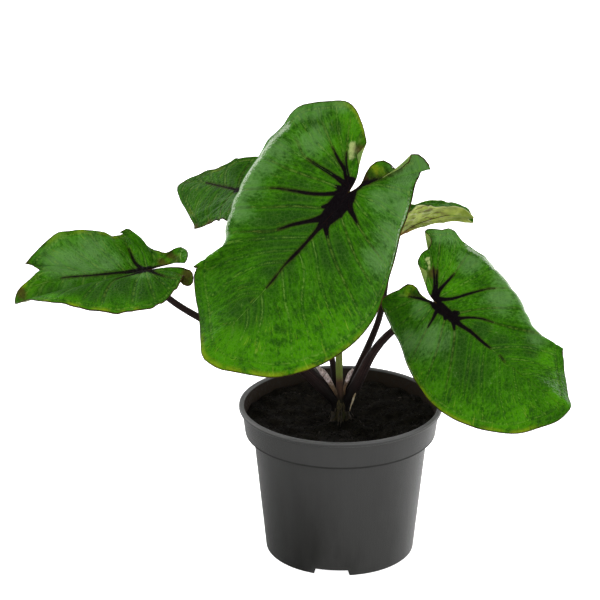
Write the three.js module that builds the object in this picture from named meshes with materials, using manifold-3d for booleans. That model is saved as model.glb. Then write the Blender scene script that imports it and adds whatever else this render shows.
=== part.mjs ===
import * as THREE from 'three';
import Module from 'manifold-3d';

// Potted selma caladium: five heart-shaped leaves on long stalks, one crown, soil and a nursery pot.
// Millimetres, +Z up. The pot's axis is Z and its base stands on z = 0. The leaves face -Y.

// Pot
const RIM_RADIUS = 60.3;
const POT_HEIGHT = 90.7;
const BAND_HEIGHT = 16.6;
const BAND_LOW_RADIUS = 56.6;
const BODY_TOP_RADIUS = 51.4;
const BASE_RADIUS = 44.3;
const BASE_ROUND = 2;
const POT_WALL = 1.4;
const FLOOR_THICKNESS = 1.6;
const POT_SEGMENTS = 48;

// Drain channels under the floor: each opens through the foot of the wall
const CHANNEL_COUNT = 3;
const CHANNEL_WIDTH = 20.5;
const CHANNEL_TOP_WIDTH = 17.5;
const CHANNEL_HEIGHT = 3.8;
const CHANNEL_INNER_RADIUS = 17;
const FIRST_CHANNEL_ANGLE = -97;
const DRAIN_HOLE_RADIUS = 4;
const DRAIN_HOLE_AT = 29;

// Soil
const GAP = 0.3;
const SOIL_LEVEL = 79.5;
const SOIL_BUMP = 0.9;
const SOIL_RINGS = 5;

// Crown: the short neck that carries the stalks, with a root plug in the soil
const NECK_RADIUS = 4.9;
const NECK_TOP = 90;
const PLUG_RADIUS = 5.6;
const PLUG_BOTTOM = 60;
const CROWN_Y = 1.6;

// Leaf blades
const BLADE_THICKNESS = 0.8;
const RING_PLACES = [0.15, 0.3, 0.46, 0.6, 0.72, 0.84, 1];
const WIDEST_RAY_STEP = 12;
const EDGE_WAVE = 1;
const EDGE_WAVES = 6;

// Each row is one ray of a blade, from the stalk's junction to the margin:
// angle from the midrib, reach, rise near the stalk, droop towards the margin,
// place of a fold, angle of the fold, and sideways turn of the outer end.
const FRONT_FORM = [
  [-170, 28, 60, -10, 60, 0, 34],
  [-163, 33, 38, 0, 60, 0, 8],
  [-156, 37, 20, 5, 60, 0, 0],
  [-149, 45, 20, 10, 60, 0, 0],
  [-141, 53, 15, 0, 60, 0, 0],
  [-125, 57, 10, -10, 60, 0, 0],
  [-112, 61, 5, -15, 60, 0, 0],
  [-100, 60, 0, -10, 55, -50, 0],
  [-86, 63, 0, 0, 55, -80, 0],
  [-72, 68, 0, 0, 57, -100, 0],
  [-60, 76, 0, 0, 60, -105, 0],
  [-48, 86, 0, 0, 65, -110, 0],
  [-34, 100, 0, 0, 73, -115, 0],
  [-27, 106, 0, 0, 80, -105, 0],
  [-23, 105, 0, -20, 92, 0, 0],
  [-16, 107, 0, -25, 120, 0, 0],
  [-6, 119, 0, -10, 120, 0, 0],
  [0, 130, 0, 0, 120, 0, 0],
  [8, 128, 0, 0, 120, 0, 0],
  [20, 117, 0, 0, 120, 0, 0],
  [40, 90, 0, -10, 120, 0, 0],
  [50, 76, 0, -25, 120, 0, 0],
  [60, 63, 0, -40, 120, 0, 0],
  [72, 56, 0, -65, 120, 0, 0],
  [97, 46, 0, -80, 120, 0, 0],
  [118, 45, 0, -80, 120, 0, 0],
  [135, 44, 0, -60, 120, 0, 0],
  [145, 45, 5, -30, 120, 0, 0],
  [149, 51, 10, -20, 120, 0, 1],
  [152, 47, 10, 0, 120, 0, 6],
  [154, 32, 10, 0, 120, 0, 5],
  [156, 27, 20, 10, 120, 0, 20],
  [159, 21, 30, 10, 120, 0, 25],
];
const LEFT_FORM = [
  [-172, 25, -4, 0, 60, 0, 0],
  [-163, 30, 4, 6, 60, 0, 0],
  [-152, 22, 16, 0, 60, 0, 0],
  [-142, 19, 30, 0, 60, 0, 10],
  [-130, 22, 45, 0, 60, 0, 25],
  [-118, 27, 55, 0, 60, 0, 38],
  [-108, 28, 48, 0, 60, 0, 42],
  [-98, 31, 34, 0, 60, 0, 20],
  [-88, 36, 24, 0, 60, 0, 4],
  [-75, 38, 21, 0, 60, 0, 0],
  [-60, 44, 21, 10, 60, 0, 0],
  [-40, 62, 16, 10, 60, 0, 0],
  [-24, 68, 10, 5, 60, 0, 0],
  [-20, 71, 8, 3, 60, 0, 0],
  [-16, 62, 8, 0, 60, 0, 0],
  [-10, 71, 10, 0, 60, 0, 0],
  [-5, 75, 7, 0, 60, 0, 0],
  [0, 77, 0, 0, 60, 0, 0],
  [8, 74, 3, 0, 60, 0, 0],
  [20, 65, 8, -5, 60, 0, 0],
  [40, 57, 8, -15, 60, 0, 0],
  [60, 49, 4, -20, 60, 0, 0],
  [90, 39, 0, -25, 60, 0, 0],
  [120, 30, 0, -20, 60, 0, 0],
  [140, 25, 0, -10, 60, 0, 0],
  [148, 30, 0, -30, 60, 0, 0],
  [158, 30, 0, -25, 60, 0, 0],
  [163, 22, 0, 0, 60, 0, 0],
  [168, 19, 5, 0, 60, 0, 0],
];
const BACK_LEFT_FORM = [
  [-160, 26, 20, 0, 60, 0, 0],
  [-120, 32, 25, 0, 60, 0, 0],
  [-90, 35, 25, 0, 60, 0, 0],
  [-60, 35, 25, 0, 60, 0, 0],
  [-30, 35, 25, 0, 60, 0, 0],
  [-10, 49, 10, 0, 60, 0, 0],
  [0, 60, 0, 0, 60, 0, 0],
  [10, 52, -14, 0, 60, 0, 0],
  [26, 42, -26, -10, 60, 0, 0],
  [36, 33, -30, -10, 60, 0, 0],
  [60, 24, -34, -10, 60, 0, 0],
  [90, 23, -30, -20, 60, 0, 0],
  [120, 24, -20, -20, 60, 0, 0],
  [160, 22, 0, 0, 60, 0, 0],
];
const BACK_RIGHT_FORM = [
  [-160, 20, 48, 0, 60, 0, 0],
  [-120, 25, 50, 0, 60, 0, 0],
  [-90, 28, 50, 0, 60, 0, 0],
  [-60, 35, 50, 0, 60, 0, 0],
  [-30, 41, 50, -14, 60, 0, 0],
  [-10, 50, 40, -32, 60, 0, 0],
  [0, 54, 26, -40, 60, 0, 0],
  [10, 50, 26, -30, 60, 0, 0],
  [30, 44, 24, -14, 60, 0, 0],
  [60, 30, 20, 0, 60, 0, 0],
  [90, 26, 16, 0, 60, 0, 0],
  [120, 25, 16, 0, 60, 0, 0],
  [160, 18, 10, 0, 60, 0, 0],
];

// Where each blade hangs: its junction, the heading and downward pitch of its midrib,
// its roll about the midrib, how broad its rise and its fold are, and how far out the fold is moved.
const LEAVES = [
  {
    name: 'front', form: FRONT_FORM, at: [3.5, 0, 222.5], heading: -143, pitch: 37, roll: 39,
    scale: 1, mirror: 1, riseWidth: 20, foldWidth: 26, foldShift: 0, colour: 0x2f7a22,
  },
  {
    name: 'right', form: FRONT_FORM, at: [55.2, -10, 158.8], heading: -29, pitch: 31, roll: -41,
    scale: 0.77, mirror: -1, riseWidth: 20, foldWidth: 26, foldShift: -2.5, colour: 0x2f7a22,
  },
  {
    name: 'left', form: LEFT_FORM, at: [-112.8, 0, 175.6], heading: -165, pitch: 8, roll: 4,
    scale: 1, mirror: 1, riseWidth: 12, foldWidth: 14, foldShift: 0, colour: 0x2f7a22,
  },
  {
    name: 'back_left', form: BACK_LEFT_FORM, at: [-54.7, 40, 209.6], heading: 140, pitch: 8, roll: 5,
    scale: 1, mirror: 1, riseWidth: 12, foldWidth: 14, foldShift: 0, colour: 0x2a6d20,
  },
  {
    name: 'back_right', form: BACK_RIGHT_FORM, at: [30, 37, 182.5], heading: 8, pitch: 0, roll: 0,
    scale: 1, mirror: 1, riseWidth: 5, foldWidth: 14, foldShift: 0, colour: 0x7d9a3a,
  },
];

// Stalks: points from the crown to just under the blade, and the radius at each of them.
// The last point is left out here, because it follows from the blade's junction.
const STALKS = {
  left: {
    points: [[-3.3, 0, 90.3], [-4.6, 0, 95], [-10, 0, 102], [-21, 0, 113], [-50, 0, 130], [-82, 0, 145.5], [-102, 0, 159.5]],
    radii: [2.5, 3.6, 4.5, 3.8, 2.6, 2.1, 1.9, 1.6],
    colour: 0x3c2426,
  },
  right: {
    points: [[3.3, -0.2, 90.3], [4.4, -0.4, 95], [8.6, -1, 103], [19, -2, 125], [30, 1, 137], [46, 1, 148]],
    radii: [2.3, 3.1, 3.5, 2.6, 2.2, 1.9, 1.6],
    colour: 0x3c2426,
  },
  front: {
    points: [[0, 2.9, 90.3], [-0.3, 3.6, 97], [-0.8, 6, 112], [-0.8, 14, 150], [2, 16, 195]],
    radii: [1.6, 1.7, 1.7, 1.7, 1.6, 1.5],
    colour: 0x7f8f4a,
  },
  back_left: {
    points: [[-3, 5.2, 90.3], [-3.2, 6, 97], [-5.2, 12, 116], [-22, 30, 165], [-46, 42, 195]],
    radii: [1.6, 1.8, 1.8, 1.6, 1.4, 1.2],
    colour: 0x3c2426,
  },
  back_right: {
    points: [[3, 5.2, 90.3], [4, 6, 97], [10.2, 9, 110], [22.7, 18, 138], [27, 28, 158], [28.7, 35, 171]],
    radii: [1.6, 1.9, 2.1, 1.9, 1.7, 1.4, 1.3],
    colour: 0x3c2426,
  },
};
const STALK_SIDES = 10;
const STALK_STEPS = 15;

const wasm = await Module();
wasm.setup();

// A closed solid from a three.js geometry, with shared corners.
function solid(geometry) {
  const bare = geometry.index ? geometry.toNonIndexed() : geometry.clone();
  const points = bare.attributes.position;
  const corners = new Map();
  const vertices = [];
  const triangles = [];
  for (let i = 0; i < points.count; i += 3) {
    const triangle = [];
    for (let k = 0; k < 3; k += 1) {
      const corner = [points.getX(i + k), points.getY(i + k), points.getZ(i + k)];
      const key = corner.map((value) => Math.round(value * 1e4)).join(' ');
      if (!corners.has(key)) {
        corners.set(key, vertices.length / 3);
        vertices.push(...corner);
      }
      triangle.push(corners.get(key));
    }
    const [a, b, c] = triangle;
    if (a !== b && b !== c && c !== a) triangles.push(a, b, c);
  }
  return new wasm.Manifold(new wasm.Mesh({
    numProp: 3,
    vertProperties: new Float32Array(vertices),
    triVerts: new Uint32Array(triangles),
  }));
}

function meshOf(body, name, colour, roughness) {
  const result = body.getMesh();
  const geometry = new THREE.BufferGeometry();
  geometry.setAttribute('position', new THREE.BufferAttribute(result.vertProperties, 3));
  geometry.setIndex(new THREE.BufferAttribute(result.triVerts, 1));
  geometry.computeVertexNormals();
  const mesh = new THREE.Mesh(geometry, new THREE.MeshStandardMaterial({ color: colour, roughness }));
  mesh.name = name;
  return mesh;
}

// Lathe about Z from [radius, height] pairs.
function turned(profile, segments) {
  const points = profile.map(([radius, height]) => new THREE.Vector2(radius, height));
  return new THREE.LatheGeometry(points, segments).rotateX(Math.PI / 2);
}

function smooth(value) {
  const t = Math.min(Math.max(value, 0), 1);
  return t * t * (3 - 2 * t);
}

// Pot: a thin tapered wall with a stepped rim band and a rounded foot
function bodyRadiusAt(z) {
  return BASE_RADIUS + (BODY_TOP_RADIUS - BASE_RADIUS) * z / (POT_HEIGHT - BAND_HEIGHT);
}

function potBody() {
  const bandBottom = POT_HEIGHT - BAND_HEIGHT;
  const shell = turned([
    [0, 0],
    [BASE_RADIUS - BASE_ROUND, 0],
    [BASE_RADIUS - BASE_ROUND * 0.3, BASE_ROUND * 0.3],
    [bodyRadiusAt(BASE_ROUND), BASE_ROUND],
    [BODY_TOP_RADIUS, bandBottom],
    [BAND_LOW_RADIUS - 0.6, bandBottom],
    [BAND_LOW_RADIUS, bandBottom + 0.6],
    [RIM_RADIUS - 1, POT_HEIGHT - 2.4],
    [RIM_RADIUS, POT_HEIGHT - 1.6],
    [RIM_RADIUS, POT_HEIGHT - 0.6],
    [RIM_RADIUS - 0.4, POT_HEIGHT],
    [RIM_RADIUS - POT_WALL - 0.2, POT_HEIGHT],
    [BAND_LOW_RADIUS - POT_WALL, bandBottom + POT_WALL],
    [BODY_TOP_RADIUS - POT_WALL, bandBottom + POT_WALL],
    [bodyRadiusAt(FLOOR_THICKNESS) - POT_WALL, FLOOR_THICKNESS],
    [0, FLOOR_THICKNESS],
  ], POT_SEGMENTS);
  let pot = solid(shell);
  const length = BASE_RADIUS - CHANNEL_INNER_RADIUS;
  const roof = CHANNEL_HEIGHT + POT_WALL;
  const inner = bodyRadiusAt(0) - POT_WALL * 0.5;
  for (let i = 0; i < CHANNEL_COUNT; i += 1) {
    const angle = THREE.MathUtils.degToRad(FIRST_CHANNEL_ANGLE + i * 360 / CHANNEL_COUNT);
    const housing = new THREE.BoxGeometry(length + POT_WALL, CHANNEL_WIDTH + 2 * POT_WALL, roof);
    housing.translate(CHANNEL_INNER_RADIUS - POT_WALL + (length + POT_WALL) / 2, 0, roof / 2);
    const keptIn = solid(turned([[0, 0], [inner, 0], [inner, roof], [0, roof]], POT_SEGMENTS));
    pot = pot.add(solid(housing.rotateZ(angle)).intersect(keptIn));
  }
  const mouth = new THREE.Shape([
    new THREE.Vector2(-CHANNEL_WIDTH / 2, -1),
    new THREE.Vector2(CHANNEL_WIDTH / 2, -1),
    new THREE.Vector2(CHANNEL_WIDTH / 2, 0.8),
    new THREE.Vector2(CHANNEL_TOP_WIDTH / 2 + 0.5, CHANNEL_HEIGHT - 0.5),
    new THREE.Vector2(CHANNEL_TOP_WIDTH / 2, CHANNEL_HEIGHT),
    new THREE.Vector2(-CHANNEL_TOP_WIDTH / 2, CHANNEL_HEIGHT),
    new THREE.Vector2(-CHANNEL_TOP_WIDTH / 2 - 0.5, CHANNEL_HEIGHT - 0.5),
    new THREE.Vector2(-CHANNEL_WIDTH / 2, 0.8),
  ]);
  for (let i = 0; i < CHANNEL_COUNT; i += 1) {
    const angle = THREE.MathUtils.degToRad(FIRST_CHANNEL_ANGLE + i * 360 / CHANNEL_COUNT);
    const channel = new THREE.ExtrudeGeometry(mouth, { depth: length + 10, bevelEnabled: false });
    channel.rotateX(Math.PI / 2).rotateZ(Math.PI / 2).translate(CHANNEL_INNER_RADIUS, 0, 0);
    const hole = new THREE.CylinderGeometry(DRAIN_HOLE_RADIUS, DRAIN_HOLE_RADIUS, 20, 20);
    hole.rotateX(Math.PI / 2).translate(DRAIN_HOLE_AT, 0, 0);
    pot = pot.subtract(solid(channel.rotateZ(angle))).subtract(solid(hole.rotateZ(angle)));
  }
  return pot;
}

// Soil: fills the pot to just under the band's step, with a crumbly, uneven top
function soilHeight(x, y) {
  const ripple = Math.sin(x * 0.31 + 1.3) * Math.cos(y * 0.27) + 0.6 * Math.sin(x * 0.17 - y * 0.43);
  return SOIL_LEVEL + SOIL_BUMP * ripple;
}

function soilBody() {
  const bottom = CHANNEL_HEIGHT + POT_WALL + GAP;
  const step = POT_HEIGHT - BAND_HEIGHT + POT_WALL + GAP;
  const inset = POT_WALL + GAP;
  const topRadius = BAND_LOW_RADIUS - inset + (RIM_RADIUS - BAND_LOW_RADIUS) * (SOIL_LEVEL - step) / BAND_HEIGHT;
  const profile = [
    [0, bottom],
    [bodyRadiusAt(bottom) - inset, bottom],
    [BODY_TOP_RADIUS - inset, step - POT_WALL],
    [BODY_TOP_RADIUS - inset, step],
    [BAND_LOW_RADIUS - inset, step],
  ];
  for (let i = 0; i < SOIL_RINGS; i += 1) {
    profile.push([topRadius * (1 - i / SOIL_RINGS), SOIL_LEVEL]);
  }
  profile.push([0, SOIL_LEVEL]);
  const fill = turned(profile, POT_SEGMENTS);
  const points = fill.attributes.position;
  for (let i = 0; i < points.count; i += 1) {
    if (points.getZ(i) > SOIL_LEVEL - 0.01) {
      points.setZ(i, soilHeight(points.getX(i), points.getY(i)));
    }
  }
  const hole = new THREE.CylinderGeometry(PLUG_RADIUS + GAP, PLUG_RADIUS + GAP, POT_HEIGHT, 24);
  hole.rotateX(Math.PI / 2).translate(0, CROWN_Y, PLUG_BOTTOM - GAP + POT_HEIGHT / 2);
  return solid(fill).subtract(solid(hole));
}

// Crown: root plug in the soil's hole, swelling neck, flat top under the stalks
function crownBody() {
  const profile = [
    [0, PLUG_BOTTOM],
    [PLUG_RADIUS * 0.6, PLUG_BOTTOM],
    [PLUG_RADIUS * 0.92, PLUG_BOTTOM + 5],
    [PLUG_RADIUS, PLUG_BOTTOM + 12],
    [PLUG_RADIUS, SOIL_LEVEL + 1],
    [NECK_RADIUS, SOIL_LEVEL + 4],
    [NECK_RADIUS * 0.96, NECK_TOP - 3],
    [NECK_RADIUS * 1.08, NECK_TOP],
    [0, NECK_TOP],
  ];
  return solid(turned(profile, 24).translate(0, CROWN_Y, 0));
}

// Values of a form at one ray angle, smoothly joined from row to row.
function rowAt(form, angle) {
  let k = 0;
  while (k < form.length - 2 && angle > form[k + 1][0]) k += 1;
  const step = form[k + 1][0] - form[k][0];
  const t = (angle - form[k][0]) / step;
  const values = [];
  for (let column = 1; column < form[k].length; column += 1) {
    const slopeAt = (row) => {
      if (row === 0 || row === form.length - 1) return 0;
      const before = (form[row][column] - form[row - 1][column]) / (form[row][0] - form[row - 1][0]);
      const after = (form[row + 1][column] - form[row][column]) / (form[row + 1][0] - form[row][0]);
      return before * after <= 0 ? 0 : (before + after) / 2;
    };
    const from = form[k][column];
    const to = form[k + 1][column];
    const t2 = t * t;
    const t3 = t2 * t;
    values.push(
      (2 * t3 - 3 * t2 + 1) * from + (t3 - 2 * t2 + t) * step * slopeAt(k)
      + (3 * t2 - 2 * t3) * to + (t3 - t2) * step * slopeAt(k + 1),
    );
  }
  return values;
}

function rayAngles(form) {
  const angles = [];
  for (let k = 0; k < form.length - 1; k += 1) {
    const from = form[k][0];
    const span = form[k + 1][0] - from;
    const parts = Math.ceil(span / WIDEST_RAY_STEP);
    for (let i = 0; i < parts; i += 1) angles.push(from + span * i / parts);
  }
  angles.push(form[form.length - 1][0]);
  return angles;
}

// Midrib direction, across direction and upper-side normal of a blade.
function bladeFrame(leaf) {
  const heading = THREE.MathUtils.degToRad(leaf.heading);
  const pitch = THREE.MathUtils.degToRad(leaf.pitch);
  const roll = THREE.MathUtils.degToRad(leaf.roll);
  const along = new THREE.Vector3(
    Math.cos(heading) * Math.cos(pitch), Math.sin(heading) * Math.cos(pitch), -Math.sin(pitch),
  );
  const level = new THREE.Vector3(
    Math.cos(heading) * Math.sin(pitch), Math.sin(heading) * Math.sin(pitch), Math.cos(pitch),
  );
  const normal = level.clone().applyAxisAngle(along, roll * -1);
  const across = new THREE.Vector3().crossVectors(normal, along);
  return { along, across, normal };
}

// Points along one ray: the slope is summed up step by step from the junction outwards.
function rayPoints(leaf, frame, angle) {
  const [reach, rise, droop, foldAt, fold, turn] = rowAt(leaf.form, angle);
  const junction = new THREE.Vector3(...leaf.at);
  const points = [];
  const steps = 40;
  const stride = reach / steps;
  let out = 0;
  let up = 0;
  let done = 0;
  for (const place of RING_PLACES) {
    for (; done < Math.round(place * steps); done += 1) {
      const r = (done + 0.5) * stride;
      const slope = THREE.MathUtils.degToRad(
        rise * smooth(r / leaf.riseWidth) + droop * Math.pow(r / reach, 1.5)
        + fold * smooth((r - foldAt - leaf.foldShift) / leaf.foldWidth + 0.5),
      );
      out += Math.cos(slope) * stride;
      up += Math.sin(slope) * stride;
    }
    const wave = EDGE_WAVE * place * place * Math.sin(THREE.MathUtils.degToRad(angle * EDGE_WAVES));
    const heading = THREE.MathUtils.degToRad(angle + turn * place * place) * leaf.mirror;
    points.push(junction.clone()
      .addScaledVector(frame.along, out * Math.cos(heading) * leaf.scale)
      .addScaledVector(frame.across, out * Math.sin(heading) * leaf.scale)
      .addScaledVector(frame.normal, (up + wave) * leaf.scale));
  }
  return points;
}

// Blade: one sheet of rays and rings, thickened evenly to both sides
function bladeBody(leaf) {
  const frame = bladeFrame(leaf);
  const rays = rayAngles(leaf.form).map((angle) => rayPoints(leaf, frame, angle));
  const rings = RING_PLACES.length;
  const sheet = [new THREE.Vector3(...leaf.at)];
  rays.forEach((ray) => sheet.push(...ray));
  const at = (ray, ring) => (ring < 0 ? 0 : 1 + ray * rings + ring);

  const faces = [];
  for (let i = 0; i < rays.length - 1; i += 1) {
    faces.push([0, at(i, 0), at(i + 1, 0)]);
    for (let j = 0; j < rings - 1; j += 1) {
      faces.push([at(i, j), at(i, j + 1), at(i + 1, j + 1)]);
      faces.push([at(i, j), at(i + 1, j + 1), at(i + 1, j)]);
    }
  }
  const edge = [0];
  for (let j = 0; j < rings; j += 1) edge.push(at(0, j));
  for (let i = 1; i < rays.length; i += 1) edge.push(at(i, rings - 1));
  for (let j = rings - 2; j >= 0; j -= 1) edge.push(at(rays.length - 1, j));

  const normals = sheet.map(() => new THREE.Vector3());
  for (const [a, b, c] of faces) {
    const ab = sheet[b].clone().sub(sheet[a]);
    const ac = sheet[c].clone().sub(sheet[a]);
    const normal = ab.cross(ac).normalize();
    for (const corner of [a, b, c]) normals[corner].add(normal);
  }
  normals.forEach((normal) => normal.normalize());

  const half = BLADE_THICKNESS / 2;
  const upper = sheet.map((point, i) => point.clone().addScaledVector(normals[i], half));
  const lower = sheet.map((point, i) => point.clone().addScaledVector(normals[i], -half));
  const positions = [];
  const add = (a, b, c) => positions.push(...a.toArray(), ...b.toArray(), ...c.toArray());
  for (const [a, b, c] of faces) {
    add(upper[a], upper[b], upper[c]);
    add(lower[a], lower[c], lower[b]);
  }
  edge.forEach((a, i) => {
    const b = edge[(i + 1) % edge.length];
    add(upper[a], lower[a], lower[b]);
    add(upper[a], lower[b], upper[b]);
  });
  const geometry = new THREE.BufferGeometry();
  geometry.setAttribute('position', new THREE.Float32BufferAttribute(positions, 3));
  return solid(geometry);
}

// Stalk: a round rod along a smooth path, wider at its sheathed foot
function stalkBody(leaf) {
  const { points, radii } = STALKS[leaf.name];
  const { normal } = bladeFrame(leaf);
  const junction = new THREE.Vector3(...leaf.at);
  const end = junction.clone().addScaledVector(normal, -(BLADE_THICKNESS / 2 + GAP));
  const path = points.map((point) => new THREE.Vector3(...point));
  path.splice(1, 0, path[0].clone().setZ(path[0].z + 1));
  path.push(end.clone().addScaledVector(normal, -1.5), end);
  const curve = new THREE.CatmullRomCurve3(path, false, 'centripetal');

  const section = new THREE.Shape();
  section.absarc(0, 0, 1, 0, Math.PI * 2);
  const rod = new THREE.ExtrudeGeometry(section, {
    steps: STALK_STEPS, curveSegments: STALK_SIDES / 2, bevelEnabled: false, extrudePath: curve,
  });

  const centres = curve.getSpacedPoints(STALK_STEPS);
  const widths = [radii[0], ...radii.slice(0, -1), radii[radii.length - 1], radii[radii.length - 1]];
  const lengths = curve.getLengths(400);
  const total = lengths[400];
  const placeOf = path.map((point) => {
    let best = 0;
    for (let i = 1; i <= 400; i += 1) {
      if (curve.getPoint(i / 400).distanceTo(point) < curve.getPoint(best / 400).distanceTo(point)) best = i;
    }
    return lengths[best] / total;
  });
  const widthAt = (place) => {
    let k = 0;
    while (k < placeOf.length - 2 && place > placeOf[k + 1]) k += 1;
    const t = (place - placeOf[k]) / (placeOf[k + 1] - placeOf[k]);
    return THREE.MathUtils.lerp(widths[k], widths[k + 1], Math.min(Math.max(t, 0), 1));
  };
  const vertices = rod.attributes.position;
  const vertex = new THREE.Vector3();
  for (let i = 0; i < vertices.count; i += 1) {
    vertex.fromBufferAttribute(vertices, i);
    let ring = 0;
    centres.forEach((centre, k) => {
      if (centre.distanceTo(vertex) < centres[ring].distanceTo(vertex)) ring = k;
    });
    const width = widthAt(ring / STALK_STEPS);
    vertex.sub(centres[ring]).multiplyScalar(width).add(centres[ring]);
    vertices.setXYZ(i, vertex.x, vertex.y, vertex.z);
  }
  return solid(rod);
}

const plant = new THREE.Group();
plant.name = 'potted_caladium';
plant.add(meshOf(potBody(), 'pot', 0x4b4d50, 0.6));
plant.add(meshOf(soilBody(), 'soil', 0x1e1712, 0.95));
plant.add(meshOf(crownBody(), 'crown', 0x5a4a34, 0.8));
for (const leaf of LEAVES) {
  plant.add(meshOf(stalkBody(leaf), `stalk_${leaf.name}`, STALKS[leaf.name].colour, 0.5));
  plant.add(meshOf(bladeBody(leaf), `blade_${leaf.name}`, leaf.colour, 0.5));
}

export default plant;
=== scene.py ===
import math

import bpy
import numpy as np
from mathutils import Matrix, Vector


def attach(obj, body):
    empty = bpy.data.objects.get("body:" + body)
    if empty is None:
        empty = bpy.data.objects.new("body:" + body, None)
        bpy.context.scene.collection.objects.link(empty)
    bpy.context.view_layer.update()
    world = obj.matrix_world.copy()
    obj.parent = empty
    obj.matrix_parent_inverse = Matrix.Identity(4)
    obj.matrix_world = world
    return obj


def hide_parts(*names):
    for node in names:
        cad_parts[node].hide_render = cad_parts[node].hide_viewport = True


# Potted caladium: the looks of its leaves, stalks, crown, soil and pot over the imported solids.
# Sizes are in millimetres, as in the solids, and become metres where a mesh is made.

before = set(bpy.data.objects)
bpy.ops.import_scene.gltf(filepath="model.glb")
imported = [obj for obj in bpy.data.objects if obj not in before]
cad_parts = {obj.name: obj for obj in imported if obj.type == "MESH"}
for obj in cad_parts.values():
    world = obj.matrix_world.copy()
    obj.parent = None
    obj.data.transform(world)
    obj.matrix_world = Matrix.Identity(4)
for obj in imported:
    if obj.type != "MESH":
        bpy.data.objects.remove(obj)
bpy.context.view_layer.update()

MM = 0.001

# Pot, as in the solids, with softer corners
RIM_RADIUS = 60.3
POT_HEIGHT = 90.7
BAND_HEIGHT = 16.6
BAND_LOW_RADIUS = 56.6
BODY_TOP_RADIUS = 51.8
BASE_RADIUS = 44.3
POT_WALL = 1.4
BAND_TOP_RADIUS = 58.4
LIP_RISE = 1.2
LIP_HEIGHT = 2.8
FLOOR_THICKNESS = 1.6
POT_SEGMENTS = 160
PROFILE_STEPS = 420
CHANNEL_COUNT = 3
CHANNEL_LENGTH = 60
CHANNEL_WIDTH = 21.2
CHANNEL_TOP_WIDTH = 19
CHANNEL_HEIGHT = 3.8
CHANNEL_INNER_RADIUS = 17
FIRST_CHANNEL_ANGLE = -97
DRAIN_HOLE_RADIUS = 4
DRAIN_HOLE_AT = 29
DRAIN_HOLE_DEPTH = 30

# Soil and crown
SOIL_LEVEL = 79.5
SOIL_RADIUS = 56.3
SOIL_EDGE = 2.8
SOIL_BUMP = 0.9
SOIL_BANK = 4.2
CROWN_Y = 1.6
CRUMB_COUNT = 5200
CRUMB_SIZE = 1.25
CRUMB_REACH = 99.4
SPLINTER_COUNT = 170
SPLINTER_SIZE = 0.5
SPLINTER_REACH = 98
ROOTLET_COUNT = 46

# View from the photo's side: elevation in degrees, the point looked at, distance in metres
VIEW_ELEVATION = 20.4
VIEW_TARGET = (-24, 0, 157)
VIEW_DISTANCE = 1.4

# Studio in metres: floor, wall round it, and the middle and half width of the matt card.
# Each light has its name, place and width in metres and its power in watts.
SURROUND_LIGHT = 0.1
FLOOR_GLOW = 1.0
FLOOR_REACH = 8.0
WALL_RADIUS = 2.6
WALL_HEIGHT = 0.8
WALL_SIDES = 48
MATT_CARD = (-0.24, 0.12, 0.0005, 0.22)
LIGHTS = [
    ("left_softbox", (-1.2, -0.3, 1.0), 0.9, 9),
    ("right_softbox", (1.4, -0.3, 0.45), 0.9, 10),
    ("top_light", (0.0, 0.1, 1.6), 0.9, 6),
    ("floor_bounce", (0.0, -0.6, 0.05), 0.8, 1.2),
    ("left_rim_light", (-0.9, 1.15, 0.8), 0.45, 8),
    ("right_rim_light", (1.0, 1.15, 0.4), 0.45, 8),
]

# Leaf blades. VEIN_REACH is the share of a ray that the veins take up, and NEAR_SINUS the share of
# the sinus's angles where the vein round the blade ends. MARGIN_EXTRA thickens the margin at the
# blade's right side.
BLADE_THICKNESS = 0.42
VEIN_REACH = 0.93
LEAF_GLOSS = 0.03
EDGE_WAVE = 1
EDGE_WAVES = 6
MARGIN_RADIUS = 0.24
RAY_STEPS = 2
FINE_ANGLES = 1500
NEAR_SINUS = 0.86
MARGIN_EXTRA = 0.14

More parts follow.
